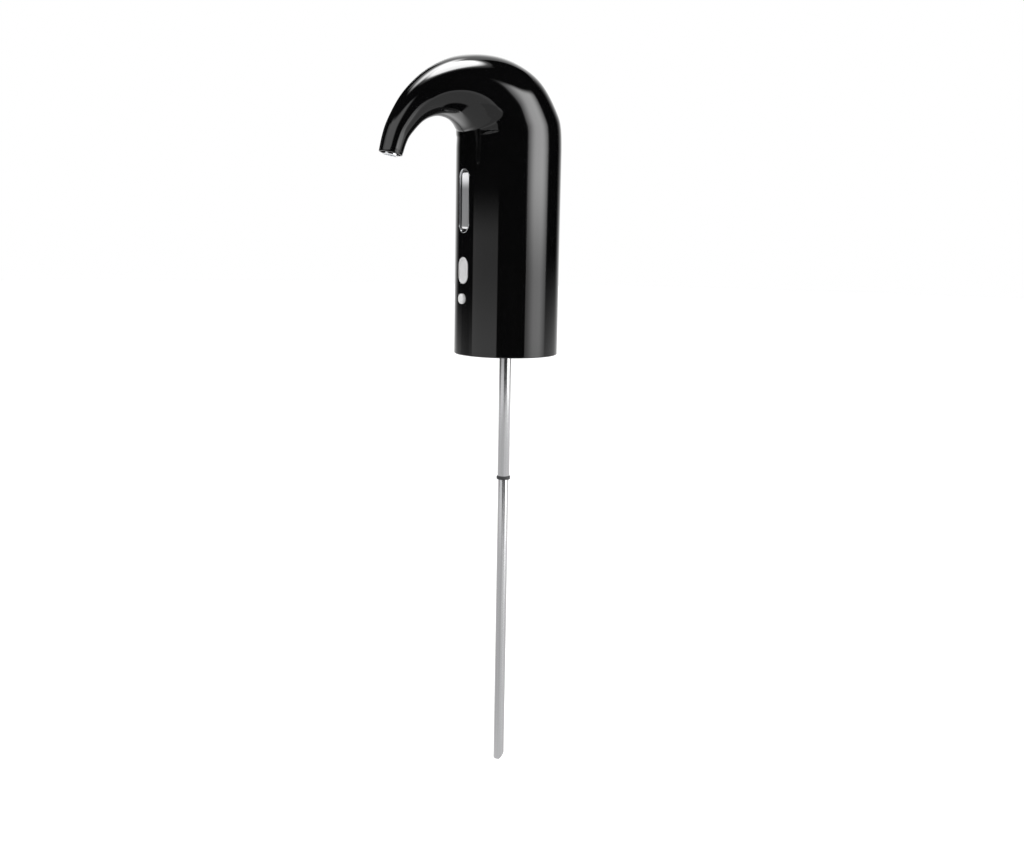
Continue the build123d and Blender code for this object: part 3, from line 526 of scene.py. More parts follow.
def own_height(group):
    """The height on the piece's own coordinates."""
    return act(group, "ShaderNodeSeparateXYZ", Vector=own_place(group)).node.outputs["Z"]


def smooth_ramp(group, **sources):
    """How far a value is between two others, from 0 to 1."""
    return act(group, "ShaderNodeMapRange", {"interpolation_type": "SMOOTHSTEP"}, **sources)


# A frosted surface with painted light: painted lighter, with a painted glow, above Low to High, and a painted
# highlight below Foot Low to Foot High, in metres.
painted_light, enter = open_group(
    "graded_surface", Low=0, High=1, Foot_Low=0, Foot_High=1, Grain=900, Smooth=0.3, Rough=0.4
)
# The painted glow: the same painted light also feeds the emission.
add_socket(painted_light, "OUTPUT", "Color", "PaintedGlow")
height, grain = own_height(painted_light), noise(painted_light, enter["Grain"], 2)
# Painted lighter towards the top, and a painted highlight band at the foot.
top = smooth_ramp(painted_light, Value=height, From_Min=enter["Low"], From_Max=enter["High"])
foot_highlight = smooth_ramp(painted_light, Value=height, From_Min=enter["Foot High"], From_Max=enter["Foot Low"])
close_group(painted_light, enter, maths(painted_light, "MAXIMUM", top, foot_highlight), grain, grain)
# The bar's colour and glow carry painted light: lighter and glowing towards the top, with a painted highlight
# at the foot.
frosted_bar = finish(
    "frosted_bar", painted_light, (0.22, 0.22, 0.225), (0.86, 0.86, 0.87), relief=0.002,
    Grain=1200, Smooth=0.18, Rough=0.26, shader={"IOR": 1.5, "Emission Strength": BAR_PAINTED_GLOW},
    Low=BAR_PAINTED_LIGHT[0] * MM, High=BAR_PAINTED_LIGHT[1] * MM, Foot_Low=BAR_PAINTED_FOOT_HIGHLIGHT[0] * MM, Foot_High=BAR_PAINTED_FOOT_HIGHLIGHT[1] * MM,
)


def blank_rows(back, face, edge, crown=0.0):
    """Rows for a solid pressed from an outline: a flat back, a rounded front edge and a slight crown."""
    rows = [(0, back)] + rounded(0, face, edge, EDGE_STEPS)
    return rows + [(-2 * edge, face + crown / 2), (-3 * edge, face + crown)]


bar_outline = rounded_outline(BAR["height"], BAR["width"], BAR["corner"])
guide_outline = rounded_outline(BAR["height"], GUIDE_W, FIT)
bar_parts = [
    wrapped(bar_outline, blank_rows(BAR_BACK - FIT, BAR_FACE, BAR_EDGE_R, BAR_CROWN), WINDOW["z"]),
    wrapped(bar_outline, [(BAR_FLANGE, BAR_REAR), (BAR_FLANGE, BAR_BACK)], WINDOW["z"]),
    wrapped(guide_outline, [(0, GUIDE_TIP), (0, BAR_REAR + FIT)], WINDOW["z"]),
]
bar = join_meshes("light_bar_lens", [rings_to_mesh("bar_part", rings) for rings in bar_parts])
add_piece(bar, frosted_bar, "housing", "light_bar", "light_bar", degrees=50)

# Power button: an oval cap in satin silver paint, with a rounded edge and a fine line round its sunk middle.
# It slides in the housing's hole: a flange keeps it in and a stem presses the switch on the board.

BUTTON_FACE = 30.35
BUTTON_BACK = 25.5
BUTTON_EDGE_R = 0.6
BUTTON_RIM = 1.35
BUTTON_DISH = 0.2
BUTTON_LINE = 0.7
BUTTON_GROOVE = 0.45
BUTTON_STEPS = 10
BUTTON_FLANGE = 1.2
BUTTON_FLANGE_HALF = 0.5
BUTTON_CORNER_STEPS = 6
BUTTON_STEM_R = 2.2
BUTTON_TIP = 22.7


def turned(name, profile, at=(0, 0, 0), axis=(0, 0, 1), steps=64, closed=False):
    """A turned mesh from rows of radius and distance along its axis. A closed profile leaves a bore."""
    axis = Vector(axis).normalized()
    side = Vector((1, 0, 0)) if abs(axis.x) < 0.9 else Vector((0, 1, 0))
    other = axis.cross(side)
    rings = []
    for radius, along in profile:
        centre = Vector(at) + axis * along
        turns = [math.tau * step / steps for step in range(steps)]
        rings.append([centre + (side * math.cos(turn) + other * math.sin(turn)) * radius for turn in turns])
    return rings_to_mesh(name, rings, closed)


button_outline = rounded_outline(BUTTON["height"], BUTTON["width"], BUTTON["width"] / 2, steps=24)
button_rows = [(0, BUTTON_BACK)] + rounded(0, BUTTON_FACE, BUTTON_EDGE_R, BUTTON_CORNER_STEPS)
for step in range(BUTTON_STEPS + 1):
    share = step / BUTTON_STEPS
    fall = BUTTON_DISH * share + BUTTON_GROOVE * math.sin(math.pi * share)**2
    button_rows.append((-BUTTON_RIM - BUTTON_LINE * share, BUTTON_FACE - fall))
button_rows.append((-BUTTON_RIM - 2 * BUTTON_LINE, BUTTON_FACE - BUTTON_DISH))
satin_silver = finish(
    "satin_silver", moulded, (0.7, 0.7, 0.7), (0.82, 0.82, 0.82),
    relief=0.004, Patch=260, Grain=2600, Smooth=0.3, Rough=0.42, shader={"Metallic": 0.1},
)
flange_rows = [(BUTTON_FLANGE, BUTTON_BACK + side * BUTTON_FLANGE_HALF) for side in (-1, 1)]
stem_rows = [(0, BUTTON_TIP), (BUTTON_STEM_R, BUTTON_TIP), (BUTTON_STEM_R, BUTTON_BACK), (0, BUTTON_BACK)]
button_parts = [
    rings_to_mesh("cap", wrapped(button_outline, button_rows, BUTTON["z"])),
    rings_to_mesh("flange", wrapped(button_outline, flange_rows, BUTTON["z"])),
    turned("stem", stem_rows, at=(0, 0, BUTTON["z"]), axis=(0, -1, 0)),
]
cap = join_meshes("button_cap", button_parts)
add_piece(cap, satin_silver, "button", "button", "power_button", degrees=40)

# Indicator lamp: a small frosted dome with a bright rounded edge, seated in a round hole under the button.
# A flange inside keeps it in, and its stem leads the light out from the board.

LAMP_EDGE_R = 0.6
LAMP_PROUD = 1.85
LAMP_FLANGE_R = 4.45
LAMP_FLANGE_Z = 26.7
LAMP_FLANGE_T = 0.2
LAMP_STEM_R = 1.8
LAMP_SHOULDER = 1.3
LAMP_STEPS = 8
LAMP_CORNER_STEPS = 5

flange_top = LAMP_FLANGE_Z + LAMP_FLANGE_T
lamp_profile = [(0, GUIDE_TIP), (LAMP_STEM_R, GUIDE_TIP), (LAMP_STEM_R, LAMP_FLANGE_Z)]
lamp_profile += [(LAMP_FLANGE_R, LAMP_FLANGE_Z), (LAMP_FLANGE_R, flange_top), (LAMP_R, flange_top)]
edge_top = BODY_R + LAMP_SHOULDER
lamp_profile += rounded(LAMP_R, edge_top, LAMP_EDGE_R, LAMP_CORNER_STEPS)
dome_r = LAMP_R - LAMP_EDGE_R
dome_h = LAMP_PROUD - LAMP_SHOULDER
for step in range(1, LAMP_STEPS + 1):
    turn = math.radians(90) * step / LAMP_STEPS
    lamp_profile.append((dome_r * math.cos(turn), edge_top + dome_h * math.sin(turn)))
frosted_lens = finish(
    "frosted_lens", moulded, (0.78, 0.78, 0.78), (0.88, 0.88, 0.88),
    relief=0.002, Patch=400, Grain=2200, Smooth=0.16, Rough=0.26, shader={"IOR": 1.5},
)
lens = turned("indicator_dome", lamp_profile, at=(0, 0, LAMP_Z), axis=(0, -1, 0))
add_piece(lens, frosted_lens, "housing", "lens", "indicator_lens", degrees=40)

# Control board: a green circuit board with tracks under its lacquer, screwed to posts on the chassis.
# It carries the push switch behind the button, whose red plunger the button's stem presses.

TRACK_PITCH = 260
TRACK_WIDTH = 0.06
TRACK_EDGE = 0.3

# Circuit board: lacquer over a grid of copper tracks that stand a little proud.
board, enter = open_group("board_surface", Pitch=200, Smooth=0.25, Rough=0.35)
place = act(board, "ShaderNodeMapping", Vector=own_place(board), Rotation=(math.radians(90), 0, 0))
tracks = act(
    board, "ShaderNodeTexBrick", Vector=place, Scale=enter["Pitch"],
    Mortar_Size=TRACK_WIDTH, Mortar_Smooth=TRACK_EDGE,
).node.outputs["Fac"]
close_group(board, enter, tracks, tracks)
circuit_green = finish(
    "circuit_green", board, (0.012, 0.12, 0.05), (0.04, 0.22, 0.1), relief=0.03, Pitch=TRACK_PITCH,
)
switch_black = finish(
    "switch_black", moulded, (0.03, 0.03, 0.03), (0.05, 0.05, 0.05),
    relief=0.01, Grain=1800, Smooth=0.4, Rough=0.5,
)
plunger_red = finish(
    "plunger_red", moulded, (0.55, 0.06, 0.04), (0.65, 0.09, 0.06),
    relief=0.01, Grain=1800, Smooth=0.35, Rough=0.45,
)
dress(circuit_green, "control_board", "charge_board")
dress(switch_black, "tact_switch")
dress(plunger_red, "switch_plunger")

# Status lamps: four small chips with domed lenses, soldered
# to the board in line with the light bar and the lamp.

LED_FACE = 20.8
LED_SIZE = (3.0, 0.8, 1.6)
LED_DOME_R = 0.6
LED_HEIGHTS = (49.015, 59.9, 70.785, 5.2)
LED_FLATNESS = 0.33
LED_DOME_STEPS = 20


def shape_tree(name, **inputs):
    """An empty Geometry Nodes tree with named inputs for its sizes."""
    tree = bpy.data.node_groups.new(name, "GeometryNodeTree")
    for title, kind in {"Geometry": "Geometry", **inputs, "Material": "Material"}.items():
        add_socket(tree, "INPUT", kind, title)
    add_socket(tree, "OUTPUT", "Geometry", "Geometry")
    return tree, tree.nodes.new("NodeGroupInput").outputs


def scaled(tree, source, factor):
    return maths(tree, "MULTIPLY", source, factor)


def placed(tree, geometry, x=0, y=0, z=0, turn=(0, 0, 0)):
    """Geometry moved by sockets or numbers, and turned."""
    move = act(tree, "ShaderNodeCombineXYZ", X=x, Y=y, Z=z)
    return act(tree, "GeometryNodeTransform", Geometry=geometry, Translation=move, Rotation=turn)


def close_tree(tree, enter, geometry, turn=(0, 0, 0)):
    """Puts the geometry at every point, makes it real and gives it its material."""
    points = enter["Geometry"]
    copies = act(tree, "GeometryNodeInstanceOnPoints", Points=points, Instance=geometry, Rotation=turn)
    real = act(tree, "GeometryNodeRealizeInstances", Geometry=copies)
    done = act(tree, "GeometryNodeSetMaterial", Geometry=real, Material=enter["Material"])
    tree.links.new(done, tree.nodes.new("NodeGroupOutput").inputs[0])


def repeated(name, tree, places, **values):
    """The plain mesh that a tree makes at places in millimetres."""
    points = bpy.data.meshes.new(name + "_points")
    points.from_pydata([Vector(place) * MM for place in places], [], [])
    maker = add_object(name + "_points", points)
    change = maker.modifiers.new("make", "NODES")
    change.node_group = tree
    for item in tree.interface.items_tree:
        title = item.name.replace(" ", "_")
        if item.in_out == "INPUT" and title in values:
            change[item.identifier] = values[title]
    found = maker.evaluated_get(bpy.context.evaluated_depsgraph_get())
    mesh = bpy.data.meshes.new_from_object(found)
    mesh.name = name
    maker.modifiers.clear()
    bpy.data.objects.remove(maker)
    return mesh


led_tree, enter = shape_tree("led_chips", Size="Vector", Dome_Radius="Float")
case = act(led_tree, "GeometryNodeMeshCube", Size=enter["Size"])
rings = LED_DOME_STEPS // 2
dome = act(
    led_tree, "GeometryNodeMeshUVSphere", Segments=LED_DOME_STEPS, Rings=rings, Radius=enter["Dome Radius"]
)
flat = act(led_tree, "GeometryNodeTransform", Geometry=dome, Scale=(1, LED_FLATNESS, 1))
depth = act(led_tree, "ShaderNodeSeparateXYZ", Vector=enter["Size"])
half = scaled(led_tree, depth.node.outputs["Y"], -0.5)
chip = act(led_tree, "GeometryNodeJoinGeometry", Geometry=[case, placed(led_tree, flat, y=half)])
close_tree(led_tree, enter, chip)
led_clear = finish(
    "led_clear", moulded, (0.82, 0.8, 0.62), (0.9, 0.88, 0.74),
    relief=0.001, Patch=500, Smooth=0.08, Rough=0.2,
)
chips = repeated(
    "status_chips", led_tree, [(0, LED_SIZE[1] / 2 - LED_FACE, z) for z in LED_HEIGHTS],
    Size=[side * MM for side in LED_SIZE], Dome_Radius=LED_DOME_R * MM, Material=led_clear,
)
add_piece(chips, led_clear, "housing", "leds", "status_leds")

# Screws: plated pan heads with a cross recess hold the base, the board, the chassis, the
# core, the pump and the motor. Each driver comes from the side that its group faces.

HEAD_STEPS = 32
SHANK_STEPS = 24
HEAD_SIDE_SHARE = 0.55
HEAD_CROWN_SHARE = 0.45
HEAD_TOP_SHARE = 0.78
RECESS_SHARES = (1.25, 0.26)

screws, enter = shape_tree(
    "cross_head_screws", Head_Radius="Float", Head_Height="Float", Shank_Radius="Float",
    Shank_Length="Float", Turn="Vector",
)
radius, height = enter["Head Radius"], enter["Head Height"]
low, high = scaled(screws, height, HEAD_SIDE_SHARE), scaled(screws, height, HEAD_CROWN_SHARE)
disc = act(screws, "GeometryNodeMeshCylinder", Vertices=HEAD_STEPS, Radius=radius, Depth=low)
top = scaled(screws, radius, HEAD_TOP_SHARE)
brim = act(
    screws, "GeometryNodeMeshCone", Vertices=HEAD_STEPS, Radius_Bottom=radius, Radius_Top=top, Depth=high
)
solids = [placed(screws, disc, z=scaled(screws, height, HEAD_SIDE_SHARE / 2)), placed(screws, brim, z=low)]
head = act(screws, "GeometryNodeMeshBoolean", {"operation": "UNION", "solver": "EXACT"}, Mesh_2=solids)
wide, thin = [scaled(screws, radius, share) for share in RECESS_SHARES]
size = act(screws, "ShaderNodeCombineXYZ", X=wide, Y=thin, Z=height)
blade = act(screws, "GeometryNodeMeshCube", Size=size)
blades = [placed(screws, blade, z=height, turn=(0, 0, turn)) for turn in (0, math.radians(90))]
cross = {"operation": "DIFFERENCE", "solver": "EXACT"}
head = act(screws, "GeometryNodeMeshBoolean", cross, Mesh_1=head, Mesh_2=blades)
length = enter["Shank Length"]
shank = act(
    screws, "GeometryNodeMeshCylinder", Vertices=SHANK_STEPS, Radius=enter["Shank Radius"], Depth=length
)
shank = placed(screws, shank, z=scaled(screws, length, -0.5))
whole = act(screws, "GeometryNodeJoinGeometry", Geometry=[head, shank])
close_tree(screws, enter, whole, turn=enter["Turn"])
turned_marks = marked_group("turned_surface", (0.1, 0.1, 1))
screw_steel = finish(
    "screw_steel", turned_marks, (0.5, 0.5, 0.5), (0.66, 0.66, 0.65), relief=0.004,
    Marks=1400, Smooth=0.22, Rough=0.38, shader=METAL,
)
UP, DOWN, FRONT = (0, 0, 0), (math.pi, 0, 0), (math.pi / 2, 0, 0)
PUMP_AT = (8.6, 2.2)


def ring_of(radius, degrees, z, about=(0, 0)):
    """Places on a circle round an upright axis."""
    turns = [math.radians(angle) for angle in degrees]
    return [(about[0] + radius * math.cos(turn), about[1] + radius * math.sin(turn), z) for turn in turns]


CORNERS = (45, 135, 225, 315)

# Places, the head's radius and height, the shank's radius and length, and the turn that aims the head.
SCREWS = {
    "base_screws": (ring_of(25.0, CORNERS, -25.0), 2.0, 1.0, 1.1, 6.8, DOWN),
    "board_screws": ([(x, -20.0, z) for x in (-6.2, 6.2) for z in (11.0, 75.0)], 1.6, 0.8, 0.8, 5.5, FRONT),
    "core_screws": (ring_of(7.3, CORNERS, 5.2), 1.6, 0.8, 0.8, 3.0, UP),
    "chassis_screws": ([(x, -7.5, 9.2) for x in (-10.5, 10.5)], 1.6, 0.8, 0.8, 5.95, UP),
    "pump_screws": (ring_of(9.6, (30, 150, 270), 16.0, PUMP_AT), 1.6, 0.8, 0.8, 17.0, DOWN),
    "motor_screws": ([(PUMP_AT[0] + x, PUMP_AT[1], 39.5) for x in (-6, 6)], 1.5, 0.8, 0.8, 2.3, DOWN),
}
for name, (places, head_r, head_h, shank_r, length, turn) in SCREWS.items():
    sizes = {"Head_Radius": head_r, "Head_Height": head_h, "Shank_Radius": shank_r, "Shank_Length": length}
    mesh = repeated(
        name + "_set", screws, places, Turn=turn, Material=screw_steel,
        **{title: size * MM for title, size in sizes.items()},
    )
    add_piece(mesh, screw_steel, "housing", "screws", name)

# Base: a black cup in finely textured plastic that drops over the bottle's mouth and closes the
# housing's bottom. Its flange is screwed to the bosses of both halves, so it also holds them together.

textured_black = finish(
    "textured_black", moulded, (0.012, 0.012, 0.013), (0.022, 0.022, 0.023),
    relief=0.03, Patch=60, Grain=3200, Smooth=0.42, Rough=0.55,
)
dress(textured_black, "base_cup")

# Stopper: a soft black silicone plug with a flat flange for the bottle's lip,
# three sealing ribs and a plain guide. It is stretched over the core, a hard
# black moulding screwed to the base that carries the wine way and the air way.

STOPPER_ROOT_R = 8.15
STOPPER_BORE_R = 6.85
STOPPER_END = -23.5
STOPPER_FLOOR = -22.0
STOPPER_MOUTH_R = 4.8
STOPPER_FLANGE = (14.8, 1.2)
STOPPER_EDGE_R = 0.4
GUIDE_R = 9.1
GUIDE_TOP = -17.5
GUIDE_EDGE = 0.65
GUIDE_SHOULDER = 0.3
CORNER_STEPS = 4
ROUND_STEPS = 96
RIB_R = 9.7
RIB_H = 1.6
RIB_PLACES = (-15.167, -10.5, -5.833)
RIB_SHARES = [(0, 0), (1, 0.85), (0.95, 1), (0, 1)]

flange_r, flange_top = STOPPER_FLANGE
stopper_profile = [(STOPPER_MOUTH_R, STOPPER_END), (GUIDE_R - GUIDE_EDGE, STOPPER_END)]
stopper_profile += [(GUIDE_R, STOPPER_END + GUIDE_EDGE), (GUIDE_R, GUIDE_TOP - GUIDE_SHOULDER)]
stopper_profile += [(GUIDE_R - GUIDE_SHOULDER, GUIDE_TOP), (STOPPER_ROOT_R, GUIDE_TOP), (STOPPER_ROOT_R, 0)]
stopper_profile += rounded(flange_r, 0, STOPPER_EDGE_R, CORNER_STEPS, up=-1)
stopper_profile += rounded(flange_r, flange_top, STOPPER_EDGE_R, CORNER_STEPS)
stopper_profile += [(STOPPER_BORE_R, flange_top), (STOPPER_BORE_R, STOPPER_FLOOR)]
stopper_profile.append((STOPPER_MOUTH_R, STOPPER_FLOOR))

rib_tree, enter = shape_tree("sealing_ribs", Root_Radius="Float", Reach="Float", Height="Float")
root, reach, rise = enter["Root Radius"], enter["Reach"], enter["Height"]
loop = act(rib_tree, "GeometryNodeCurvePrimitiveCircle", Resolution=ROUND_STEPS, Radius=root)
section = {}
for index, (x, y) in enumerate(RIB_SHARES, 1):
    corner = {"X": scaled(rib_tree, reach, -x), "Y": scaled(rib_tree, rise, y)}
    section[f"Point_{index}"] = act(rib_tree, "ShaderNodeCombineXYZ", **corner)
fin = act(rib_tree, "GeometryNodeCurvePrimitiveQuadrilateral", {"mode": "POINTS"}, **section)
rib = act(rib_tree, "GeometryNodeCurveToMesh", Curve=loop, Profile_Curve=fin)
close_tree(rib_tree, enter, rib)
matt_silicone = finish(
    "matt_silicone", moulded, (0.035, 0.035, 0.038), (0.05, 0.05, 0.053),
    relief=0.02, Patch=120, Grain=2400, Smooth=0.55, Rough=0.7,
)
ribs = repeated(
    "plug_ribs", rib_tree, [(0, 0, z) for z in RIB_PLACES], Material=matt_silicone,
    Root_Radius=(STOPPER_ROOT_R - FIT) * MM, Reach=(RIB_R - STOPPER_ROOT_R + FIT) * MM, Height=RIB_H * MM,
)
sleeve = turned("sleeve", stopper_profile, steps=ROUND_STEPS, closed=True)
plug = join_meshes("ribbed_plug", [sleeve, ribs])
add_piece(plug, matt_silicone, "housing", "silicone", "bottle_stopper")
core_black = finish(
    "core_black", moulded, (0.04, 0.04, 0.043), (0.06, 0.06, 0.063),
    relief=0.01, Grain=1500, Smooth=0.35, Rough=0.45,
)
dress(core_black, "stopper_core")

# Tube: two drawn stainless tubes, one inside the other, so that it reaches
# the floor of a short or a tall bottle. A soft ring on the end of the upper
# one grips the lower one, whose slanted foot can't seal on the glass.

UPPER_TUBE = (3.5, 3.16, -100.0, -2.05)
LOWER_TUBE = (3.10, 2.65, -277.0, -72.0)
FOOT_PLANE = -275.45
TUBE_EDGE_R = 0.08
COLLAR = (4.0, 3.15, -102.0, -100.0)
COLLAR_EDGE_R = 0.35


def pipe_profile(radius, bore, low, high, edge):
    """The closed profile of a pipe with rounded outer edges."""
    rows = rounded(radius, low, edge, CORNER_STEPS, up=-1) + rounded(radius, high, edge, CORNER_STEPS)
    return rows + [(bore, high), (bore, low)]


drawn = marked_group("drawn_surface", (1, 1, 0.012))
drawn_steel = finish(
    "drawn_steel", drawn, (0.54, 0.54, 0.55), (0.68, 0.68, 0.69), relief=0.003,
    Marks=1100, Smooth=0.12, Rough=0.24, shader=METAL,
)
upper = turned("upper_tube", pipe_profile(*UPPER_TUBE, TUBE_EDGE_R), closed=True)
lower = turned("lower_tube", pipe_profile(*LOWER_TUBE, TUBE_EDGE_R), closed=True)
for vertex in lower.vertices:
    if vertex.co.z < FOOT_PLANE * MM:
        vertex.co.z = max(vertex.co.z, FOOT_PLANE * MM + vertex.co.y)
collar = turned("tube_ring", pipe_profile(*COLLAR, COLLAR_EDGE_R), closed=True)
add_piece(upper, drawn_steel, "housing", "tube", "dip_tube_upper")
add_piece(lower, drawn_steel, "lower_tube", "tube", "dip_tube_lower")
add_piece(collar, matt_silicone, "housing", "silicone", "tube_collar")

# Nozzle: a plated ring with a rounded lip, pushed into the spout's mouth so that it stands a little proud.
# An o-ring in its groove seals it, and the wine hose is pushed over the barb at its back.

NOZZLE_R = 4.4
NOZZLE_BORE_R = 3.0
NOZZLE_PROUD = 1.0
NOZZLE_BACK = -9.45
NOZZLE_THROAT = -6.0
NOZZLE_BARB = (1.7, 1.1, -12.7)
NOZZLE_EDGE_R = 0.4
GROOVE = (3.9, -4.75, -3.75)
LIP_STEPS = 6

mouth, _, tilt = neck_section(len(NECK) - 1)
outward = Vector((0, -math.sin(tilt), math.cos(tilt)))
groove_r, groove_low, groove_high = GROOVE
barb_r, barb_bore_r, barb_end = NOZZLE_BARB
nozzle_profile = [(NOZZLE_R, NOZZLE_BACK), (NOZZLE_R, groove_low), (groove_r, groove_low)]
nozzle_profile += [(groove_r, groove_high), (NOZZLE_R, groove_high)]
nozzle_profile += rounded(NOZZLE_R, NOZZLE_PROUD, NOZZLE_EDGE_R, LIP_STEPS)
nozzle_profile += rounded(NOZZLE_BORE_R, NOZZLE_PROUD, NOZZLE_EDGE_R, LIP_STEPS, out=-1)
nozzle_profile += [(NOZZLE_BORE_R, NOZZLE_THROAT), (barb_bore_r, NOZZLE_THROAT), (barb_bore_r, barb_end)]
nozzle_profile += [(barb_r, barb_end), (barb_r, NOZZLE_BACK)]
nozzle_chrome = finish(
    "nozzle_chrome", plated, (0.7, 0.71, 0.73), (0.78, 0.79, 0.8), relief=0.001,
    Marks=1100, Smooth=0.07, Rough=0.14, shader=METAL,
)
nozzle = turned("nozzle_ring", nozzle_profile, at=mouth, axis=outward, closed=True)
add_piece(nozzle, nozzle_chrome, "housing", "nozzle", "spout_nozzle")
dress(matt_silicone, "nozzle_o_ring")

# Hoses: clear silicone. The wine hose runs from the core up the back, over the
# neck and down to the nozzle's barb. The air hose joins the pump to the core.

clear_hose = finish(
    "clear_hose", moulded, (0.72, 0.75, 0.75), (0.8, 0.82, 0.82),
    relief=0.004, Grain=1200, Smooth=0.2, Rough=0.32,
    shader={"Transmission Weight": 0.5, "IOR": 1.42},
)
dress(clear_hose, "wine_hose", "air_hose")

# Chassis: a dark moulded wall with snap cradles for the battery, the pump and the motor.
# Two screws fix its feet to the base.

chassis_grey = finish(
    "chassis_grey", moulded, (0.06, 0.06, 0.064), (0.085, 0.085, 0.09),
    relief=0.02, Grain=1600, Smooth=0.42, Rough=0.55,
)
dress(chassis_grey, "chassis")

# Battery: a round cell in a blue shrink sleeve, with bare plated ends.
# It snaps into its cradle on the chassis.

CELL_ENDS = (20.2, 68.1)

# One finish between Low and High on the piece's height, in metres, and another beyond them.
banded, enter = open_group("banded_surface", Low=0, High=1, Grain=900, Smooth=0.3, Rough=0.4)
height = own_height(banded)
above = maths(banded, "GREATER_THAN", height, enter["Low"])
inside = maths(banded, "MULTIPLY", above, maths(banded, "LESS_THAN", height, enter["High"]))
outside = maths(banded, "SUBTRACT", 1, inside)
close_group(banded, enter, outside, noise(banded, enter["Grain"], 2), inside)
cell_blue = finish(
    "cell_blue", banded, (0.05, 0.16, 0.42), (0.68, 0.68, 0.66), relief=0.006,
    Low=CELL_ENDS[0] * MM, High=CELL_ENDS[1] * MM, Grain=500, Smooth=0.24, Rough=0.36,
)
dress(cell_blue, "battery_cell")

# Charging socket: a folded and plated shell with a centre
# tongue, on its own small board at the back of the base.

socket_plate = finish(
    "socket_plate", plated, (0.6, 0.6, 0.6), (0.72, 0.72, 0.71), relief=0.002,
    Marks=1400, Smooth=0.16, Rough=0.28, shader=METAL,
)
dress(socket_plate, "charge_port")

# Air pump: pale nylon mouldings stacked under the motor. A wobbling plate presses the cups
# of a silicone diaphragm in turn, and umbrella valves let the air in and out of the head.

pump_nylon = finish(
    "pump_nylon", moulded, (0.72, 0.72, 0.69), (0.8, 0.8, 0.77),
    relief=0.01, Grain=1500, Smooth=0.38, Rough=0.5,
)
dress(pump_nylon, "pump_head", "valve_plate", "pump_case", "swash_plate", "eccentric_hub")
dress(matt_silicone, "umbrella_valves")
ground_steel = finish(
    "ground_steel", turned_marks, (0.5, 0.5, 0.51), (0.62, 0.62, 0.63), relief=0.002,
    Marks=1800, Smooth=0.14, Rough=0.24, shader=METAL,
)
dress(ground_steel, "drive_pin", "motor_shaft")

# Diaphragm: one soft silicone moulding of a sheet and three cups, clamped under
# the pump's case. Its stems and knobs ride on the wobbling plate, and the cups
# are drawn at their pressed height, so that the plate's arms clear them.

PIVOT = Vector((*PUMP_AT, 28.3))
PLATE_TILT = math.radians(7)
PLATE_NORMAL = Vector((math.sin(PLATE_TILT), 0, math.cos(PLATE_TILT)))
PLATE_ALONG = Vector((math.cos(PLATE_TILT), 0, -math.sin(PLATE_TILT)))
CUP_RING_R = 6.4
CUP_ANGLES = (90, 210, 330)
CUP_UNDER_PLATE = 0.595
CUP_PRESSED = 3.6
SHEET_TOP = 23.3
STEM_CUT = 0.15
STEM_R = 0.7
STEM_END = 2.5
STEM_STEPS = 24
cup_places = ring_of(CUP_RING_R, CUP_ANGLES, 0)


def half_of(name, source, upper):
    """The part of a closed mesh above or below the cut through the stems, closed again."""
    half = bmesh.new()
    half.from_mesh(source)
    bmesh.ops.remove_doubles(half, verts=half.verts, dist=WELD)
    bmesh.ops.bisect_plane(
        half, geom=half.verts[:] + half.edges[:] + half.faces[:], plane_no=PLATE_NORMAL,
        plane_co=(PIVOT - STEM_CUT * PLATE_NORMAL) * MM, clear_inner=upper, clear_outer=not upper,
    )
    bmesh.ops.holes_fill(half, edges=[edge for edge in half.edges if edge.is_boundary])
    bmesh.ops.recalc_face_normals(half, faces=half.faces)
    made = bpy.data.meshes.new(name)
    half.to_mesh(made)
    half.free()
    stored = made.attributes.get("custom_normal")
    if stored:
        made.attributes.remove(stored)
    return made


def away_from(place, axis):
    """How far a place in metres is from a cup's upright axis, squared."""
    return (place.x - (PIVOT.x + axis[0]) * MM) ** 2 + (place.y - (PIVOT.y + axis[1]) * MM) ** 2


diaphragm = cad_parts["diaphragm"].data
cups = half_of("diaphragm_cups", diaphragm, upper=False)
for vertex in cups.vertices:
    rise = vertex.co.z - SHEET_TOP * MM
    if rise > 0:
        nearest = min(cup_places, key=lambda axis: away_from(vertex.co, axis))
        free = PIVOT.z - nearest[0] * math.tan(PLATE_TILT) - CUP_UNDER_PLATE - SHEET_TOP
        vertex.co.z = SHEET_TOP * MM + rise * CUP_PRESSED / free
stem_rows = [(0, -STEM_END), (STEM_R, -STEM_END), (STEM_R, 0), (0, 0)]
stem_ends = [PIVOT + PLATE_ALONG * x + Vector((0, y, 0)) for x, y, _ in cup_places]
stems = [turned("stem", stem_rows, at=end, axis=PLATE_NORMAL, steps=STEM_STEPS) for end in stem_ends]
knobs = join_meshes("diaphragm_knobs", [half_of("knobs", diaphragm, upper=True), *stems])
for mesh, body in ((cups, "housing"), (knobs, "wobble_plate")):
    add_piece(mesh, matt_silicone, body, "silicone", "diaphragm")

# Motor: a small brushed motor screwed to the pump's case. Its plated can holds two sintered magnets and
# a bronze bush, and the nylon cap closes it. The wound core and its commutator turn on a ground shaft.

WINDING_ENDS = (46.0, 58.0)

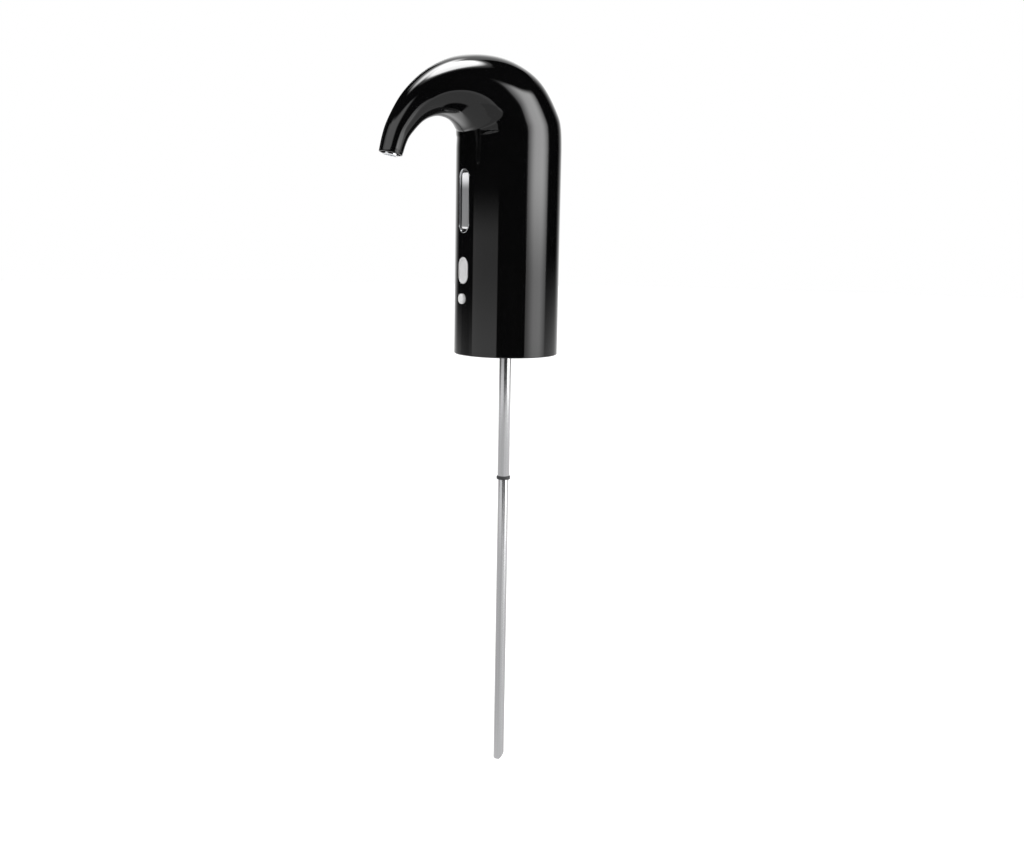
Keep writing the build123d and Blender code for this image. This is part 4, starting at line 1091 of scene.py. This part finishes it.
can_plate = finish(
    "can_plate", turned_marks, (0.58, 0.58, 0.56), (0.7, 0.7, 0.68), relief=0.003,
    Marks=900, Smooth=0.2, Rough=0.34, shader=METAL,
)
magnet_grey = finish(
    "magnet_grey", moulded, (0.07, 0.07, 0.07), (0.11, 0.11, 0.11),
    relief=0.02, Grain=2200, Smooth=0.5, Rough=0.65,
)
wound_core = finish(
    "wound_core", banded, (0.3, 0.3, 0.31), (0.55, 0.24, 0.1), relief=0.03,
    Low=WINDING_ENDS[0] * MM, High=WINDING_ENDS[1] * MM, Grain=2600, Smooth=0.3, Rough=0.5,
)
commutator_copper = finish(
    "commutator_copper", turned_marks, (0.66, 0.36, 0.2), (0.78, 0.45, 0.27), relief=0.003,
    Marks=1600, Smooth=0.18, Rough=0.32, shader=METAL,
)
bush_bronze = finish(
    "bush_bronze", plated, (0.5, 0.34, 0.16), (0.62, 0.43, 0.22), relief=0.01,
    Marks=1800, Smooth=0.34, Rough=0.5, shader=METAL,
)
cap_nylon = finish(
    "cap_nylon", moulded, (0.76, 0.76, 0.72), (0.84, 0.84, 0.8),
    relief=0.01, Grain=1500, Smooth=0.4, Rough=0.5,
)
dress(can_plate, "motor_can")
dress(magnet_grey, "motor_magnets")
dress(wound_core, "armature")
dress(commutator_copper, "commutator", "motor_terminals")
dress(bush_bronze, "motor_bushes")
dress(cap_nylon, "motor_end_cap")

# Floor and background: a pale floor below the tube's lowest reach, and white all round.
# Rays that look at the set or mirror it see plain white, and what they light gets a softer level.

FLOOR_Z = -288.0
FLOOR_R = 6000.0
FLOOR_T = 10.0
FLOOR_STEPS = 96
FLOOR_LIFT = 0.4
FILL = 0.5
world = bpy.data.worlds.new("studio")
bpy.context.scene.world = world
world.use_nodes = True
tree = world.node_tree
background = tree.nodes["Background"].inputs
background["Color"].default_value = (1, 1, 1, 1)
path = act(tree, "ShaderNodeLightPath").node.outputs
seen = maths(tree, "MAXIMUM", path["Is Camera Ray"], path["Is Glossy Ray"])
seen = maths(tree, "MAXIMUM", seen, path["Is Transmission Ray"])
level = act(tree, "ShaderNodeMapRange", Value=seen, To_Min=FILL, To_Max=1.0)
tree.links.new(level, background["Strength"])

turns = [math.tau * step / FLOOR_STEPS for step in range(FLOOR_STEPS)]
circle = [(FLOOR_R * math.cos(turn), FLOOR_R * math.sin(turn)) for turn in turns]
disc = [[Vector((x, y, z)) for x, y in circle] for z in (FLOOR_Z - FLOOR_T, FLOOR_Z)]
floor_mesh = rings_to_mesh("floor", disc)
floor = add_object("floor", floor_mesh)
floor_paint = finish("floor_paint", moulded, (0.79, 0.79, 0.79), (0.81, 0.81, 0.81), Smooth=0.6, Rough=0.7)
tree = floor_paint.node_tree
shader = tree.nodes["Principled BSDF"].inputs
shader["Emission Color"].default_value = (1, 1, 1, 1)
camera_ray = act(tree, "ShaderNodeLightPath").node.outputs["Is Camera Ray"]
lift = act(tree, "ShaderNodeMapRange", Value=camera_ray, To_Max=FLOOR_LIFT)
tree.links.new(lift, shader["Emission Strength"])
floor.data.materials.append(floor_paint)
floor.visible_glossy = False

# Lamps: two very large soft ones give an even level, and cards stand where the polished housing mirrors them.
# White cards make its highlights and black cards keep the rest of it dark.


def soft_sun(name, azimuth, elevation, strength, size):
    """A distant lamp as seen from the object: azimuth 0 is the front and 90 is +X."""
    lamp = add_object(name, bpy.data.lights.new(name, "SUN"))
    lamp.data.energy = strength
    lamp.data.angle = math.radians(size)
    lamp.rotation_mode = "QUATERNION"
    lamp.rotation_quaternion = (-direction(azimuth, elevation)).to_track_quat("-Z", "Y")
    lamp.visible_glossy = False


def direction(azimuth, elevation):
    a, e = math.radians(azimuth), math.radians(elevation)
    return Vector((math.sin(a) * math.cos(e), -math.cos(a) * math.cos(e), math.sin(e)))


soft_sun("key_lamp", -30, 40, 1.4, 60)
soft_sun("side_lamp", 126, 25, 0.6, 60)

CARD_EDGES = ("Left", "Right", "Low", "High")
CARD_STEPS = 24
CARD_LEAST_FADE = 0.1
CARD_FAR = 5.6
CARD_GAP = 0.05


def card_fade():
    """How solid a card is, from its own map: it fades out along each edge by that edge's share."""
    group = bpy.data.node_groups.new("card_fade", "ShaderNodeTree")
    for title in CARD_EDGES:
        add_socket(group, "INPUT", "Float", title)
    add_socket(group, "OUTPUT", "Float", "Solid")
    enter, leave = group.nodes.new("NodeGroupInput").outputs, group.nodes.new("NodeGroupOutput")
    parts = act(group, "ShaderNodeSeparateXYZ", Vector=act(group, "ShaderNodeUVMap")).node.outputs
    solid = 1
    for title, axis, far in zip(CARD_EDGES, "XXYY", (False, True, False, True)):
        value = maths(group, "SUBTRACT", 1, parts[axis]) if far else parts[axis]
        solid = maths(group, "MULTIPLY", solid, smooth_ramp(group, Value=value, From_Max=enter[title]))
    group.links.new(solid, leave.inputs["Solid"])
    return group


fade = card_fade()


def card(name, azimuths, elevations, strength, edges, distance):
    """A card on a sphere round the object that only mirrors see, with its edges' fades in degrees."""
    mesh = bpy.data.meshes.new(name)
    wide, tall = azimuths[1] - azimuths[0], elevations[1] - elevations[0]
    places, maps, faces = [], [], []
    for row in range(CARD_STEPS + 1):
        for column in range(CARD_STEPS + 1):
            u, v = column / CARD_STEPS, row / CARD_STEPS
            places.append(direction(azimuths[0] + wide * u, elevations[0] + tall * v) * distance)
            maps.append((u, v))
    for row in range(CARD_STEPS):
        for column in range(CARD_STEPS):
            low = row * (CARD_STEPS + 1) + column
            faces.append((low, low + 1, low + CARD_STEPS + 2, low + CARD_STEPS + 1))
    mesh.from_pydata(places, [], faces)
    layer = mesh.uv_layers.new(name="UVMap")
    for loop in mesh.loops:
        layer.data[loop.index].uv = maps[loop.vertex_index]
    material = bpy.data.materials.new(name)
    material.use_nodes = True
    tree = material.node_tree
    tree.nodes.remove(tree.nodes["Principled BSDF"])
    spans = zip(CARD_EDGES, edges, (wide, wide, tall, tall))
    fades = {title: max(edge, CARD_LEAST_FADE) / span for title, edge, span in spans}
    solid = act(tree, "ShaderNodeGroup", {"node_tree": fade}, **fades)
    glow = act(tree, "ShaderNodeEmission", Strength=strength)
    mix = act(tree, "ShaderNodeMixShader", feeds=(solid, act(tree, "ShaderNodeBsdfTransparent"), glow))
    tree.links.new(mix, tree.nodes["Material Output"].inputs["Surface"])
    mesh.materials.append(material)
    made = add_object(name, mesh)
    made.visible_camera = made.visible_diffuse = made.visible_shadow = made.visible_transmission = False


# Azimuths, elevations, strength, and how softly the left,
# right, low and high edges end. The last stands in front.
CARDS = {
    "floor_glow": ((-180, 180), (-90, -10), 0.75, (0, 0, 0, 8)),
    "floor_left": ((-180, -15), (-89, -28), 2.6, (0, 75, 3, 20)),
    "black_down": ((62, 184), (-89, -54), 0, (14, 12, 0, 7)),
    "white_back": ((-145, -109), (8, 57), 2.5, (26, 15, 21, 21)),
    "grey_low": ((-62, 65), (-33, 2.6), 0.6, (14, 0, 1, 1.4)),
    "grey_strip": ((-34, 39), (-14, -1.5), 1.0, (3, 1, 5, 5)),
    "black_left": ((-107, -23), (-10.5, 19), 0, (32, 1.7, 8, 1)),
    "black_horizon": ((-31, 39), (-0.6, 17), 0, (4, 1, 2.8, 3)),
    "black_front": ((35, 99), (-9, 49), 0, (2, 1, 1.7, 3)),
    "black_right": ((149, 223), (-9.4, 69), 0, (4, 35, 8.5, 2)),
    "black_far_left": ((-106, -27), (6, 50), 0, (3, 1, 2.4, 2)),
    "black_above": ((-63, 211), (35, 71), 0, (4, 3, 3, 6)),
    "white_front": ((-24, 62), (13, 44), 1.85, (24, 14, 3, 5)),
    "grey_right": ((98, 155), (-11, 13), 3.2, (23, 24, 6, 14)),
    "white_right": ((94, 156), (-2.7, 42), 7, (25, 25, 6, 6)),
    "white_above": ((-180, 180), (70, 90), 18, (0, 0, 7, 0)),
    "white_above_left": ((-129, -14), (54, 74), 13.5, (28, 38, 16, 0)),
}
for index, (name, sizes) in enumerate(CARDS.items()):
    card(name, *sizes, CARD_FAR - CARD_GAP * index)

# Camera: the photograph's viewing angle, from the right of the front and a little above.
# It is rolled by a degree, as the photograph is.

CAMERA_AT = (0.6137, -0.4082, 0.0498)
HEADING = (-0.829, 0.559)
PITCH = math.radians(9.42)
ROLL = math.radians(1.05)
FOCAL_LENGTH = 44.5
NEAREST = 0.01

forward = Vector((HEADING[0] * math.cos(PITCH), HEADING[1] * math.cos(PITCH), -math.sin(PITCH))).normalized()
level = Vector((HEADING[1], -HEADING[0], 0)).normalized()
upright = level.cross(forward)
across = level * math.cos(ROLL) + upright * math.sin(ROLL)
upward = upright * math.cos(ROLL) - level * math.sin(ROLL)
camera = add_object("camera", bpy.data.cameras.new("camera"))
camera.matrix_world = Matrix((across, upward, -forward)).transposed().to_4x4()
camera.location = CAMERA_AT
camera.data.lens = FOCAL_LENGTH
camera.data.clip_start = NEAREST
bpy.context.scene.camera = camera

bpy.context.scene.view_settings.view_transform = "Standard"
